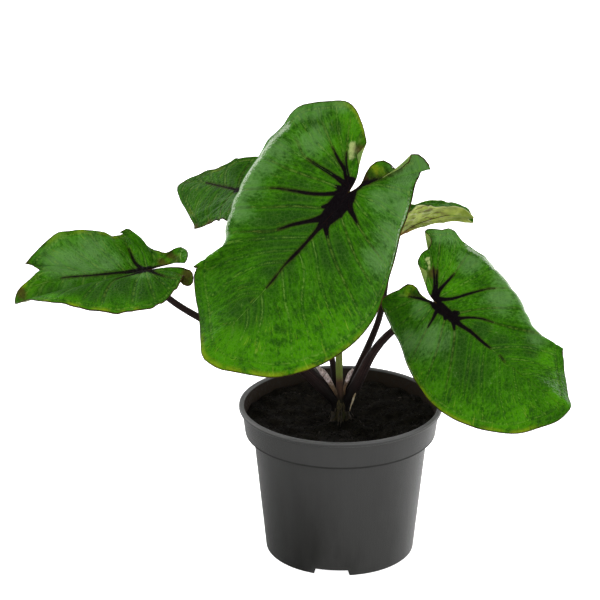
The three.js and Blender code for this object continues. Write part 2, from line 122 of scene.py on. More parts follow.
# One ray of a blade in each row, from the stalk's junction to the margin: angle from the midrib,
# reach, rise near the stalk, droop towards the margin, sideways turn of the outer end, place of a
# fold and angle of the fold. A row leaves out what is usual at its end. Angles are in degrees.
USUAL_ROW = (0, 0, 0, 0, 0, 60, 0)
FRONT_FORM = [
    (-174, 21.6, 36, 0, 19), (-170, 24.7, 34, 0, 14), (-166, 27.1, 30, 0, 6), (-162, 30.6, 28, 0),
    (-158, 33.4, 24, 0, -1), (-154, 37, 20, 5, -2), (-149, 45, 20, 10), (-141, 53, 15, 0),
    (-125, 57, 10, -10), (-112, 61, 5, -15), (-100, 60, 0, -10, 0, 55, -50),
    (-86, 63, 0, 0, 0, 55, -80), (-72, 68, 0, 0, 0, 57, -100), (-60, 76, 0, 0, 0, 60, -105),
    (-48, 86, 0, 0, 0, 65, -110), (-34, 100, 0, 0, 0, 73, -115), (-27, 106, 0, 0, 0, 80, -105),
    (-24.5, 96.6, 0, -12, 0, 90), (-22.5, 100.4, 0, -20, -1, 95), (-20, 103.1, 0, -23, -1, 106),
    (-16, 106.9, 0, -25, -1, 120), (-12, 110.4, 0, -20, 0, 120), (-8, 114.8, 0, -13, 0, 120),
    (-4, 121.2, 0, -6, 0, 120), (0, 128.3, 0, 0, 0, 120), (4, 128.4, 0, 0, 0, 120),
    (8, 125.5, 0, 0, 0, 120), (13, 122, 0, 0, 0, 120), (20, 117, 0, 0, 0, 120),
    (40, 90, 0, -10, 0, 120), (50, 76, 0, -25, 0, 120), (60, 63, 0, -40, 0, 120),
    (72, 54.4, 0, -55, -2, 120), (97, 41.6, 0, -58, -3, 120), (118, 40.4, 0, -60, -4, 120),
    (137, 42.7, 0, -46, 5, 120), (141, 44.6, 2, -43, 6, 120), (145, 44.4, 5, -30, 3, 120),
    (147, 47, 8, -26, 4, 120), (148.5, 50.2, 10, -22, -2, 120), (149.5, 49.4, 10, -17, 1, 120),
    (150.5, 47.4, 10, -8, 5, 120), (151.3, 44.9, 10, -2, 8, 120), (152, 42.7, 10, 0, 8, 120),
    (152.7, 40.6, 10, 0, 4, 120), (153.4, 35.9, 10, 0, 1, 120), (154.2, 30.1, 10, 0, 2, 120),
    (155, 29.5, 14, 4, 10, 120), (156.2, 27, 20, 8, 16, 120), (157.5, 21.9, 24, 10, 20, 120),
    (158.6, 15.6, 28, 10, 17, 120), (159.5, 9.4, 30, 10, 5, 120),
]
RIGHT_FORM = [
    (-174, 22, 34, 0, 21), (-170, 25.9, 34, 0, 18), (-166, 30.1, 30, 0, 7), (-162, 34.2, 28, 0, 3),
    (-158, 37.5, 24, 0, 5), (-154, 40.2, 20, 0, 7), (-150, 42.2, 18, 0, 11),
    (-146, 48.4, 17, 0, 10), (-143, 52.5, 16, 0, 5), (-140, 55.6, 15, -1, -1),
    (-137, 57.7, 13, -3, -1), (-132, 57.8, 12, -6, 1), (-126, 57.9, 10, -9),
    (-120, 60.8, 8, -13, -1), (-115, 60.5, 6, -15, -2), (-111, 58, 5, -15, -3, 60, -1),
    (-106, 55.6, 2, -13, -3, 58, -20), (-100, 56.8, 0, -10, -2, 55, -50),
    (-93, 57.2, 0, -4, -1, 55, -67), (-86, 63, 0, 0, 0, 55, -80), (-72, 68, 0, 0, 0, 57, -100),
    (-60, 76, 0, 0, 0, 60, -105), (-48, 86, 0, 0, 0, 65, -110), (-34, 100, 0, 0, 0, 73, -115),
    (-27, 105, 0, 0, 0, 80, -105), (-23, 102.4, 0, -20, 0, 92), (-20, 105.8, 0, -23, 0, 106),
    (-16, 109.7, 0, -25, 0, 120), (-12, 113.6, 0, -20, 0, 120), (-6, 120.2, 0, -10, 0, 120),
    (-1, 127.8, 0, 0, 0, 120), (4, 127.6, 0, 0, 0, 120), (12, 122, 0, 0, 0, 120),
    (20, 116.4, 0, 0, 0, 120), (30, 103.4, 0, -5, 0, 120), (40, 91, 0, -10, 0, 120),
    (50, 78.3, 0, -25, 0, 120), (60, 66.2, 0, -40, 0, 120), (72, 58.2, 0, -65, 0, 120),
    (97, 46, 0, -80, 0, 120), (118, 45, 0, -80, 0, 120), (135, 44, 0, -60, 0, 120),
    (145, 42, 5, -30, 0, 120), (149, 39.3, 10, -20, -4, 120), (152, 34.8, 10, 0, -3, 120),
    (153, 29.6, 10, 0, 4, 120), (154.2, 27.5, 10, 0, 12, 120), (155.2, 25.6, 15, 6, 16, 120),
    (156.2, 22, 21, 10, 17, 120), (157.3, 17.8, 26, 10, 14, 120), (158.5, 14.5, 30, 10, 3, 120),
    (159.5, 9.8, 30, 10, 2, 120),
]
LEFT_FORM = [
    (-172, 18.5, -4, 0, -2), (-170, 21.5, -3, 1, -1), (-168, 22.4, -2, 3, -22),
    (-165, 24.6, 2, 5, -18), (-162, 26.4, 5, 6, -7), (-158, 26.6, 9, 3, 2), (-154, 24, 14, 1, 3),
    (-149, 18.1, 20, 0, -4), (-142, 16.4, 30, 0, 4), (-136, 17.3, 38, 0, 17),
    (-130, 20.9, 45, 0, 29), (-124, 24.1, 52, 0, 34), (-118, 28.7, 55, 0, 38),
    (-112, 29.3, 52, 0, 39), (-107, 29.1, 47, 0, 40), (-98, 31, 34, 0, 20), (-88, 35.4, 24, 0, 4),
    (-75, 36.8, 21, 0), (-60, 41.4, 21, 10), (-40, 58.3, 16, 10), (-30, 65.4, 12, 7),
    (-24, 68.3, 10, 5), (-22, 70.4, 9, 4, 3), (-21, 71.8, 8, 4, 2), (-19, 67.7, 8, 2, -1),
    (-16, 62.6, 8, 0), (-13, 62.4, 9, 0), (-10, 63.9, 10, 0), (-7, 67.1, 8, 0), (-5, 69.3, 7, 0),
    (-2, 75.1, 4, 0), (2, 79.5, 0, 0, 3), (6, 76.7, 2, 0, 2), (12, 72.8, 5, -1, 3),
    (20, 68.4, 8, -5, 5), (30, 59.2, 8, -10), (40, 54.4, 8, -15), (60, 46.8, 4, -20),
    (75, 42.9, 2, -22), (90, 35.5, 0, -25), (105, 28.8, 0, -23), (120, 26.1, 0, -20),
    (140, 24.6, 0, -10), (144, 24.5, 0, -20, -13), (148, 27.4, 0, -28, -19),
    (152, 29.4, 0, -30, -19), (156, 29.4, 0, -25, -16), (160, 28.6, 0, -12, -15),
    (164, 25.6, 1, 0, -10), (168, 22.2, 5, 0, -13),
]
BACK_LEFT_FORM = [
    (-160, 26, 20, 0), (-120, 32, 25, 0), (-90, 35, 25, 0), (-60, 35, 25, 0), (-30, 34.3, 25, 0),
    (-20, 38, 18, 0), (-10, 47.3, 10, 0), (-5, 54, 5, 0), (0, 57.3, 0, 0), (5, 53.2, -7, 0),
    (10, 48.4, -14, 0), (15, 44.9, -18, -3), (20, 43, -21, -6), (25, 41.8, -26, -10),
    (28, 41.9, -27, -10), (29, 41.5, -27, -10), (32, 35.6, -29, -10), (36, 32.3, -30, -10),
    (44, 26.7, -31, -10), (60, 23.6, -34, -10), (90, 23.2, -30, -20), (120, 24, -20, -20),
    (160, 22, 0, 0),
]
BACK_RIGHT_FORM = [
    (-160, 20, 48, 0), (-120, 24, 50, 0), (-90, 26, 50, 0), (-60, 36, 51, 0), (-40, 35.5, 48, -8),
    (-25, 38.9, 47, -18), (-15, 42.4, 45, -28), (-8, 47.5, 41, -34), (-4, 51.8, 30, -36),
    (-2, 47.6, 30, -38), (0, 50.6, 25, -40), (3, 51.5, 24, -34), (8, 51.4, 27, -32),
    (15, 49.9, 29, -30), (25, 47.6, 27, -24), (40, 46, 24.5, -14), (60, 36, 20, -4),
    (100, 26, 16, 0), (160, 18, 10, 0),
]

# Veins lie in the flat leaf: millimetres along the midrib and across it, from the junction.
# A midrib is its points with the half width of its dark part there, 0 where the dark has ended.
# A side vein is its points on the way out and the angle at which it meets the margin. Where its
# root is near-black, the share of its length that is dark and its half width there follow. They
# are listed from the tip round to the sinus, first the left side (negative angles), then the right.
BIG_MIDRIB = [
    (-5, -2.4, 4.4), (3, 0.4, 5.8), (13, 0.8, 5.6), (20, 1, 4.2), (24, 0.9, 2.4), (28, 0.8, 1.1),
    (41, 0.8, 0.7), (50, 0.4, 1), (54, 0.2, 0.6), (58, 0, 0.2), (63, 0.3, 0), (66, 0.6, 0.5),
    (72, 0.8, 0.4), (75, 0.8, 0), (122, 0, 0),
]
BIG_VEINS = [
    ([(101, -0.5), (106, -4)], -4), ([(78.7, -0.8), (85.4, -8.6), (94.6, -12.7)], -9),
    ([(55, -1), (64, -11), (78.7, -19.2), (93.9, -22.1)], -15),
    ([(46, -1), (56, -13), (72, -26)], -22), ([(36, -1), (46, -14), (62, -30)], -28),
    ([(22, -1.7), (28.4, -7), (36.4, -13.5), (43.7, -17.9)], -35, 0.36, 1.3),
    ([(14, -4), (16.7, -6), (25.6, -18.2), (35, -28.5)], -44, 0.05, 0.6),
    ([(0, -3), (3.3, -4), (12.6, -14), (20.4, -27.3), (24.7, -34.3),
       (36.8, -48.4)], -55, 0.6, 1.2), ([(1, -6), (3, -14), (8, -28), (12, -42)], -76, 0.05, 0.5),
    ([(-3, -14), (-1.5, -28), (1.1, -44)], -88),
    ([(-3, -3), (-3.2, -7.8), (-2.5, -19), (-1.7, -25.8), (-2, -35.4),
       (-6.9, -43.7)], -99, 0.55, 1.4), ([(-8, -10), (-10.5, -20), (-13, -36)], -110),
    ([(-5, -4), (-9.8, -10.9), (-12.7, -18.6), (-18.1, -28.9), (-23.2, -37.8)], -122, 0.5, 1.2),
    ([(-8, -7), (-16, -16), (-24, -26)], -133),
    ([(-5, -4), (-8.1, -7.3), (-13, -12.1), (-23.6, -19.6)], -143, 0.45, 1.1),
    ([(-8, -5), (-16, -9)], -153), ([(103, 0.5), (108, 4)], 3), ([(90, 0.5), (97, 6)], 6),
    ([(78, 0.5), (86, 8), (98, 15)], 12), ([(60, 0.6), (67, 7.7), (74, 14.7), (81.4, 24.7)], 22),
    ([(46, 1), (50, 8), (58, 15), (67, 21)], 28), ([(34, 1), (42, 11), (52, 22)], 37),
    ([(21, 2), (23.2, 2.6), (28.8, 8.7), (37, 21)], 46, 0.18, 1.6),
    ([(12, 4), (19, 14), (27, 28)], 56, 0.06, 1),
    ([(3, 3), (6.2, 5.9), (9.6, 13.2), (11.6, 17.5), (15, 29)], 70, 0.34, 2),
    ([(0, 3), (3, 14), (3, 28)], 90), ([(-3, 3), (-6, 14), (-10, 26)], 113),
    ([(-8, 4), (-14, 9), (-20, 18)], 133),
    ([(-2, 1.6), (-3.6, 2), (-10.5, 4.7), (-18.2, 9.3), (-25.4, 13.6)], 151, 0.8, 0.5),
]
RIGHT_MIDRIB = [
    (-6, -1.4, 1.6), (-2, 0.4, 3.8), (5, 1.5, 4.3), (11, 1.2, 3.6), (17, 1.2, 3.8), (21, 1.6, 2.4),
    (25, 1.5, 1.5), (34, 0.4, 1.2), (44, 0.8, 1), (52, 0.6, 0.9), (54, 0.6, 0), (61, 0.4, 0),
    (64, 0.5, 0.5), (67, 1.6, 0.5), (69, 1.6, 0), (122, 0, 0),
]
RIGHT_VEINS = [
    ([(104, -0.5), (108, -4)], -4), ([(84, 0.5), (92, -8)], -9),
    ([(66, 1), (76, -9), (88, -17)], -14), ([(54, 0), (62, -10), (74, -22)], -20),
    ([(20, -1), (25.5, -7.6), (33.3, -13.6), (43.7, -18.3)], -26, 0.36, 0.8),
    ([(16, -3), (24, -14), (36, -27)], -38, 0.05, 1.6),
    ([(-1, -3), (5.5, -9), (13.3, -21.8), (21.5, -34.5), (32.4, -45.8)], -56, 0.62, 1.2),
    ([(-2, -5), (2, -16), (7, -32)], -76),
    ([(-4, -4), (-5.1, -8.4), (-5.2, -16.7), (-5.3, -27.4)], -99, 0.5, 1.4),
    ([(-6, -6), (-9, -16), (-13, -32)], -112),
    ([(-6, -5), (-8.5, -9.8), (-13.5, -15.5)], -128, 0.42, 1),
    ([(-6, -4), (-9.8, -8.7), (-18.6, -17.7)], -140, 0.5, 1), ([(-8, -5), (-16, -9)], -154),
    ([(104, 0.5), (108, 4)], 3), ([(90, 0.5), (97, 6)], 7), ([(76, 1), (84, 9), (95, 17)], 13),
    ([(62, 0.6), (70, 10), (80, 22)], 21), ([(48, 0.8), (54, 10), (64, 24)], 29),
    ([(36, 0.8), (42, 11), (52, 26)], 38),
    ([(19, 3), (22, 6), (25.7, 9.7), (36, 25)], 46, 0.12, 1),
    ([(12, 4), (17, 14), (25, 30)], 58, 0.05, 1),
    ([(4, 3.5), (4.6, 6.9), (6.2, 12.4), (7, 17.2)], 74, 0.34, 1),
    ([(-1, 4), (0, 14), (1, 28)], 92), ([(-4, 3), (-7, 14), (-11, 26)], 113),
    ([(-8, 3), (-14, 9), (-20, 18)], 133),
    ([(-4.5, 1.7), (-6.8, 3.6), (-12.2, 6.4)], 151, 0.6, 0.5),
]
LEFT_MIDRIB = [
    (-3, 0, 2.6), (1.3, -0.9, 3.2), (8, -1.4, 2.2), (15.5, -1.9, 0.8), (32, -2.9, 0.5),
    (47, -4.3, 0.2), (52, -4.2, 0), (74, -2, 0),
]
LEFT_VEINS = [
    ([(58, -4), (64, -8)], -10), ([(46, -4), (52, -10), (58, -15)], -18),
    ([(34, -3), (40, -11), (48, -19)], -26), ([(22, -2.5), (28, -12), (36, -24)], -38),
    ([(12, -2), (16, -12), (24, -26)], -52), ([(6, -2), (9, -12), (13, -26)], -66),
    ([(1.6, -1.2), (5.1, -9.5), (5.7, -19.6), (6.2, -25.2)], -79, 0.7, 1.1),
    ([(0, -2), (-2, -12), (-4, -22)], -102), ([(-3, -1.5), (-8, -8)], -130),
    ([(0.6, -0.5), (-9.7, -1.4), (-15.6, -3.2)], -160, 0.6, 1.3), ([(60, -3), (66, 1)], 3),
    ([(48, -3.5), (55, 3), (62, 7)], 9), ([(36, -3), (44, 7), (52, 14)], 19),
    ([(24, -2), (32, 11), (40, 22)], 33),
    ([(3, 1), (12.3, 4.4), (19.3, 7.3), (28, 20)], 45, 0.4, 1), ([(3, 1), (8, 10), (13, 24)], 65),
    ([(1, 1), (2, 12), (3, 24)], 85), ([(-1, 2), (-3, 12)], 108),
    ([(-1, 1), (-2, 4.2), (-6.9, 11.5)], 128, 0.6, 1), ([(-4, 2), (-12, 6)], 152),
]
SMALL_MIDRIB = [
    (-3, 0, 1.8), (3, -0.5, 2), (9.3, -1.5, 0.7), (27.5, -3, 0.25), (36, -3.8, 0.1), (40, -4, 0),
    (57, -3, 0),
]
SMALL_VEINS = [
    ([(40, -4), (46, -7)], -12), ([(30, -3), (37, -10)], -24), ([(20, -2.4), (27, -12)], -38),
    ([(10, -1.5), (15, -13)], -58, 0.1, 0.6), ([(2, -1), (4, -13)], -80, 0.4, 1),
    ([(-2, -1), (-5, -12)], -112), ([(-3, -1), (-11, -8)], -143, 0.4, 1), ([(42, -3), (47, 2)], 7),
    ([(30, -2.6), (37, 5)], 20), ([(20, -2), (27, 8)], 35), ([(10, -1), (16, 10)], 55, 0.1, 0.6),
    ([(2, 1), (5, 11)], 78, 0.4, 1), ([(-2, 1), (-5, 11)], 112),
    ([(-3, 1), (-10, 7)], 143, 0.4, 1),
]

# Soft patches of each blade, as place along and across and radius: painted glow of yellower green,
# painted shade of darker green, painted grey sheen, spot of painted pale highlight and tint of
# brown.
PATCHES = {
    "front": dict(
        painted_glow=[(-13, -24, 10), (-12, -40, 8), (-32, -26, 12), (104, 13, 22),
                (116, 8, 18), (127, 8, 14), (114, 29, 16), (90, 39, 18), (66, 46, 14),
                (-20, 9.5, 3), (74, -44, 12)],
        dull=[(42, -16, 17), (30, -11, 13), (92, 2, 12), (34, 16, 12), (60, -4, 10), (20, -20, 10),
              (-20, -42, 5), (-26, -30, 5), (-8, -20, 5)],
        painted_sheen=[(-12, -36, 10), (-9, 17, 8), (-20, 20, 8), (-28, 21, 9), (-17, 30, 10),
               (1, 35, 11), (18, 39, 10), (-39, 22, 9), (-21, -53, 7), (-29, -45, 7),
               (-38, -37, 6), (6, -49, 9), (18, -49, 9), (34, -46, 9), (48, -42, 9)],
        spot=[(-23.4, -15.8, 2.4), (-20.8, -13.5, 3.2), (-18, -12, 2.4)],
        tint=[(-24, -10, 4), (-12, 5, 2)]),
    "right": dict(
        painted_glow=[(3, -17, 9), (-12, -30, 9), (89, -24, 9), (115, -1, 8), (105, 29, 14),
                (99, 45, 12), (78, 52, 13), (62, 57, 10), (42, 56, 10), (21, 50, 9), (-21, 9.5, 3)],
        dull=[(32, 16, 14), (53, 23, 14), (57, -7, 10), (75, -21, 8), (38, -6, 9)],
        painted_sheen=[(-34, -43, 9), (-26, -50, 9), (-3, -42, 10), (27, -49, 9), (46, -48, 10),
               (60, -40, 10), (71, -34, 9), (34, -34, 12), (15, 25, 14), (-6, 12, 8), (4, 36, 12)],
        spot=[(-23.6, -14.9, 2.2), (-26.8, -16.8, 2.6), (-30, -17.2, 2)],
        tint=[(-18, -15, 5)]),
    "left": dict(
        painted_glow=[(46, -28, 8), (34, -31, 8), (15, -30, 8), (63, -1, 7), (69, -1.5, 6),
                (60, 19, 7), (48, 28, 6), (35, 35, 5), (19, 39, 5), (5, -20, 5), (-12, -5, 4)],
        dull=[(9, 23, 13), (20, 14, 14), (34, 18, 13), (48, 10, 10), (-6, 16, 9), (60, 4, 8)],
        painted_sheen=[(39, -18, 14), (28, -25, 12), (47, -20, 14), (22, -12, 10), (34, -10, 10),
               (48, -12, 10), (5, 5, 7)],
        spot=[], tint=[(-21, 14, 6), (-23, 9, 4), (-10, -4.5, 3), (-16, -7, 3), (74, -1, 3),
                       (66, -25, 2.5)]),
    # The dull patches of the two back blades paint shade over most of each.
    "back_left": dict(painted_glow=[(36, 5, 8), (32, -7, 6)], dull=[(26, 6, 40)], painted_sheen=[],
                      spot=[], tint=[(36, 19.5, 3), (24, 19, 3), (57, -5, 3)]),
    "back_right": dict(painted_glow=[], dull=[(30, -20, 30)], painted_sheen=[], spot=[],
                       tint=[(14, 20, 8), (24, 22, 6)]),
}

# Each blade: relief between its veins, further thickness of the margin on its right side, form,
# place of its junction, heading, pitch and roll of its midrib, size, handedness, how broad its
# rise and its fold are, and the rays and rings of its sheet. Its place and turns are those of
# its solid.
LEAVES = [
    dict(name="front", relief=0.9, rolled=0.3, form=FRONT_FORM, at=(3.5, 0, 222.5), heading=-143,
         pitch=37, roll=39, scale=1, mirror=1, rise_width=20, fold_width=26, fold_shift=0,
         rays=310, rings=104, midrib=BIG_MIDRIB, veins=BIG_VEINS),
    dict(name="right", relief=0.9, rolled=0, form=RIGHT_FORM, at=(55.2, -10, 158.8), heading=-29,
         pitch=31, roll=-41, scale=0.77, mirror=-1, rise_width=20, fold_width=26, fold_shift=-2.5,
         rays=310, rings=104, midrib=RIGHT_MIDRIB, veins=RIGHT_VEINS),
    dict(name="left", relief=0.6, rolled=0, form=LEFT_FORM, at=(-112.8, 0, 175.6), heading=-165,
         pitch=8, roll=4, scale=1, mirror=1, rise_width=12, fold_width=14, fold_shift=0,
         rays=260, rings=76, midrib=LEFT_MIDRIB, veins=LEFT_VEINS),
    dict(name="back_left", relief=0.3, rolled=0, form=BACK_LEFT_FORM, at=(-54.7, 40, 209.6),
         heading=140, pitch=8, roll=5, scale=1, mirror=1, rise_width=12, fold_width=14,
         fold_shift=0, rays=200, rings=60, midrib=SMALL_MIDRIB, veins=SMALL_VEINS),
    dict(name="back_right", relief=0.6, rolled=0, form=BACK_RIGHT_FORM, at=(30, 37, 182.5),
         heading=8, pitch=0, roll=0, scale=1, mirror=1, rise_width=5, fold_width=14,
         fold_shift=0, rays=200, rings=60, midrib=SMALL_MIDRIB, veins=SMALL_VEINS),
]

# Stalks: points from the crown to just under the blade and the radius at each, as in the solids
STALKS = {
    "left": ([(-3.3, 0, 90.3), (-4.6, 0, 95), (-10, 0, 102), (-21, 0, 113), (-50, 0, 130),
              (-82, 0, 145.5), (-102, 0, 159.5)], [2.5, 3.6, 4.5, 3.8, 2.6, 2.1, 1.9, 1.6]),
    "right": ([(3.3, -0.2, 90.3), (4.4, -0.4, 95), (8.6, -1, 103), (19, -2, 125), (30, 1, 137),
               (46, 1, 148)], [2.3, 3.1, 3.5, 2.6, 2.2, 1.9, 1.6]),
    "front": ([(0, 2.9, 90.3), (-0.3, 3.6, 97), (-0.8, 6, 112), (-0.8, 14, 150), (2, 16, 195)],
              [1.8, 2, 2.1, 2, 1.8, 1.6]),
    "back_left": ([(-3, 5.2, 90.3), (-3.2, 6, 97), (-5.2, 12, 116), (-22, 30, 165), (-46, 42, 195)],
                  [1.6, 1.8, 1.8, 1.6, 1.4, 1.2]),
    "back_right": ([(3, 5.2, 90.3), (4, 6, 97), (10.2, 9, 110), (22.7, 18, 138), (27, 28, 158),
                    (28.7, 35, 171)], [1.6, 1.9, 2.1, 1.9, 1.7, 1.4, 1.3]),
}
# Sheaths at the foot of the stalks: finish, sides of a rod, and the points and radii of each edge
SHEATHS = {
    "sheath_heart": ("sheath_heart", 14, [
        ([(-0.4, -0.6, 88), (-0.2, 0.2, 94), (-0.2, 1.2, 99), (-0.4, 2.6, 104)],
         [2.6, 2.6, 2.4, 1.6])]),
    "sheath_outer_edge": ("pale_edge", 10, [
        ([(5.4, -2.8, 88), (6.2, -3, 91.5), (7.2, -3.2, 94.8), (8.5, -3.3, 99.8),
          (10.1, -3.2, 105.6)], [0.2, 0.3, 0.5, 0.6, 0.15])]),
    "sheath_edges": ("sheath_lining", 14, [
        ([(-1.6, -1.6, 95), (-3, -2.4, 99.5), (-6.8, -2.8, 107), (-10.6, -2.6, 112.6),
          (-14.6, -1.8, 116.2)], [0.6, 1.1, 1.6, 1.9, 0.6]),
        ([(2.2, -2.4, 98), (2.4, -2.8, 103), (3.8, -3, 107.5), (5.2, -2.8, 111.4),
          (7.2, -2.4, 114.6)], [0.4, 0.8, 1.2, 1.35, 0.6])]),
}


def hue(code):
    """A linear colour from its screen code."""
    channels = [int(code[i:i + 2], 16) / 255 for i in (0, 2, 4)]
    linear = [c / 12.92 if c <= 0.04045 else ((c + 0.055) / 1.055) ** 2.4 for c in channels]
    return (*linear, 1.0)


class Value:
    """A socket of a node tree that takes part in arithmetic."""

    def __init__(self, nodes, socket):
        self.nodes = nodes
        self.socket = socket

    def __add__(self, other):
        return self.nodes.math("ADD", self, other)

    __radd__ = __add__

    def __sub__(self, other):
        return self.nodes.math("SUBTRACT", self, other)

    def __rsub__(self, other):
        return self.nodes.math("SUBTRACT", other, self)

    def __mul__(self, other):
        return self.nodes.math("MULTIPLY", self, other)

    __rmul__ = __mul__

    def __truediv__(self, other):
        return self.nodes.math("DIVIDE", self, other)

    def __pow__(self, other):
        return self.nodes.math("POWER", self, other)

    def between(self, low, high):
        """0 below low, 1 above high, smooth in between."""
        return self.nodes.add("ShaderNodeMapRange", {"interpolation_type": "SMOOTHSTEP"},
                              {0: self, 1: low, 2: high, 3: 0.0, 4: 1.0})


class Nodes:
    """A node tree under construction, of a material or of geometry."""

    def __init__(self, tree):
        self.tree = tree

    def make(self, kind, settings=None, inputs=None):
        """A node with its settings made first. A list of values goes into one input together."""
        node = self.tree.nodes.new(kind)
        for key, setting in (settings or {}).items():
            setattr(node, key, setting)
        for key, values in (inputs or {}).items():
            for value in values if isinstance(values, list) else [values]:
                if isinstance(value, Value):
                    self.tree.links.new(value.socket, node.inputs[key])
                else:
                    node.inputs[key].default_value = value
        return node

    def add(self, kind, settings=None, inputs=None, output=0):
        return Value(self, self.make(kind, settings, inputs).outputs[output])

    def math(self, operation, *values):
        return self.add("ShaderNodeMath", {"operation": operation}, dict(enumerate(values)))

    def vector(self, x=0.0, y=0.0, z=0.0):
        return self.add("ShaderNodeCombineXYZ", None, {0: x, 1: y, 2: z})

    def axis(self, vector, which):
        return self.add("ShaderNodeSeparateXYZ", None, {0: vector}, output=which)

    def length(self, vector):
        return self.add("ShaderNodeVectorMath", {"operation": "LENGTH"}, {0: vector}, output=1)


class Finish(Nodes):
    """One material under construction."""

    def __init__(self, name):
        self.material = bpy.data.materials.new(name)
        self.material.use_nodes = True
        super().__init__(self.material.node_tree)
        self.tree.nodes.clear()

    def place(self, scale=(1, 1, 1)):
        """Object coordinates in metres, stretched by scale."""
        return self.add("ShaderNodeVectorMath", {"operation": "MULTIPLY"},
                        {0: self.add("ShaderNodeTexCoord", output=3), 1: scale})

    def attributes(self, *names):
        return [self.add("ShaderNodeAttribute", {"attribute_name": name}, output=2)
                for name in names]

    def noise(self, place, per_metre, detail=3.0, rough=0.55):
        return self.add("ShaderNodeTexNoise", {"noise_dimensions": "3D"},
                        {"Vector": place, "Scale": per_metre, "Detail": detail, "Roughness": rough})

    def layers(self, ground, *coats):
        """A colour with coats over it, each given as its share and its screen code."""
        colour = hue(ground)
        for share, code in coats:
            colour = self.add("ShaderNodeMix", {"data_type": "RGBA"},
                              {0: share, 6: colour, 7: hue(code)}, output=2)
        return colour

    def bump(self, height, depth):
        return self.add("ShaderNodeBump", None,
                        {"Height": height, "Distance": depth, "Strength": 1.0})

    def surface(self, **sockets):
        inputs = {key.replace("_", " "): value for key, value in sockets.items()}
        return self.add("ShaderNodeBsdfPrincipled", None, inputs)

    def done(self, shader):
        self.make("ShaderNodeOutputMaterial", None, {"Surface": shader})
        return self.material


def leaf_top():
    """Upper side: green streaked along the side veins, near-black stain round the main ones, fine
    pale lines, and in patches painted sheen, highlights and shade and a yellower green painted
    glow."""
    finish = Finish("leaf_top")
    place = finish.place()
    stain, faint, pale, inset, stripe, outward, sheen_band = finish.attributes(
        "stain", "faint", "pale", "inset", "stripe", "outward", "sheen_band")
    painted_glow, dull, painted_sheen, spot, tint = finish.attributes("painted_glow", "dull", "painted_sheen", "spot", "tint")
    broad = finish.noise(place, 38)
    mottle = finish.noise(place, 120, 4.0, 0.6)
    fine = finish.noise(place, 900, 3.0, 0.6)
    net = finish.add("ShaderNodeTexVoronoi", {"feature": "DISTANCE_TO_EDGE"},
                     {"Vector": place, "Scale": 460})
    streak = finish.noise(finish.vector(stripe * 2.6 + broad * 2.0, outward * 0.09), 1.6, 4.0, 0.65)
    brush = finish.noise(finish.vector(stripe * 9.0 + mottle * 1.6, outward * 0.3), 1.0, 3.0, 0.6)
    strand = finish.noise(finish.vector(stripe * 14.0 + mottle * 0.8, outward * 0.08), 1.0, 2.0)
    ragged = mottle * 0.8 + brush * 0.6 + fine * 0.2 - 0.8
    beside_vein = pale.between(-3.2, -1.4) * (1 - pale.between(-1.4, -0.7))
    # Painted glow: yellower green near the margin where light comes through the blade.
    painted_glow_rim = ((1 - inset.between(0.4, 4.5)) * painted_glow.between(0.1, 0.7)
                  * mottle.between(0.36, 0.56))
    edge = fine * 0.8 + mottle * 0.8 - 0.8
    dark = (stain + edge).between(-0.45, 0.3)
    colour = finish.layers(
        "235203",
        (broad.between(0.36, 0.62), "2c6702"),
        (streak.between(0.42, 0.68) * 0.6, "3a7d02"),
        ((1 - streak.between(0.32, 0.5)) * 0.45, "204c08"),
        # Painted glow: yellower green patches where light comes through the blade.
        ((painted_glow + ragged * 2.4).between(0.1, 1.1) * 0.9, "489202"),
        (brush.between(0.5, 0.62) * 0.4, "4a9203"),
        ((1 - brush.between(0.36, 0.5)) * 0.4, "1b4208"),
        (mottle.between(0.5, 0.66) * 0.3, "468e03"),
        ((1 - mottle.between(0.34, 0.5)) * 0.25, "1c480a"),
        # Painted shade: darker green in the dull patches.
        ((dull + ragged).between(0.1, 0.8) * 0.75, "20460f"),
        # Painted sheen: grey reflection of the light, in patches.
        ((painted_sheen + ragged * 1.6).between(0.1, 1.0) * 0.65, "6a9a54"),
        ((1 - net.between(0.0, 0.16)) * 0.1, "7aa84c"),
        # Fine pale hairlines, stronger in the painted glow.
        (strand.between(0.62, 0.68) * (painted_glow * 0.4 + 0.1), "90b232"),
        (beside_vein * 0.25, "4f9806"),
        # Painted shade: darker green along the veins' grooves.
        (pale.between(-1.2, -0.3) * 0.12, "1c460c"),
        (pale.between(-0.4, 0.1) * brush.between(0.46, 0.56) * 0.35, "86ac44"),
        # Painted sheen and painted white highlights along fold crests and drooping margins; the
        # coat there shines for real.
        ((sheen_band + ragged * 1.6).between(0.25, 1.0) * 0.45, "6c9656"),
        ((sheen_band + fine * 2.4 - 1.25).between(0.6, 0.95) * 0.7, "b8caac"),
        # Painted glow along the margin.
        (painted_glow_rim * 0.6, "9aa41c"),
        ((1 - inset.between(0.1, 1.0)) * 0.6, "3a2610"),
        # Painted highlight: pale spot where a curled edge catches the light.
        ((spot + ragged * 1.6).between(0.3, 0.95), "bccc80"),
        ((tint + ragged).between(0.1, 0.9) * 0.75, "4e341c"),
        ((faint + edge).between(-0.7, 0.5) * 0.34, "38240e"),
        (stain.between(-1.8, 0.2) * 0.55, "32200e"),
        (dark, "0d080b"))
    relief = mottle * 0.6 + fine * 0.35 + streak * 0.4 + net.between(0.0, 0.3) * 0.25
    waxed = (sheen_band + fine * 2.4 - 1.2).between(0.5, 1.0) * 0.2
    return finish.done(finish.surface(
        Base_Color=colour, Roughness=0.36 + fine * 0.16 - dark * 0.04,
        Normal=finish.bump(relief, 0.0008), Specular_IOR_Level=LEAF_GLOSS, Coat_Weight=waxed,
        Coat_Roughness=0.22))


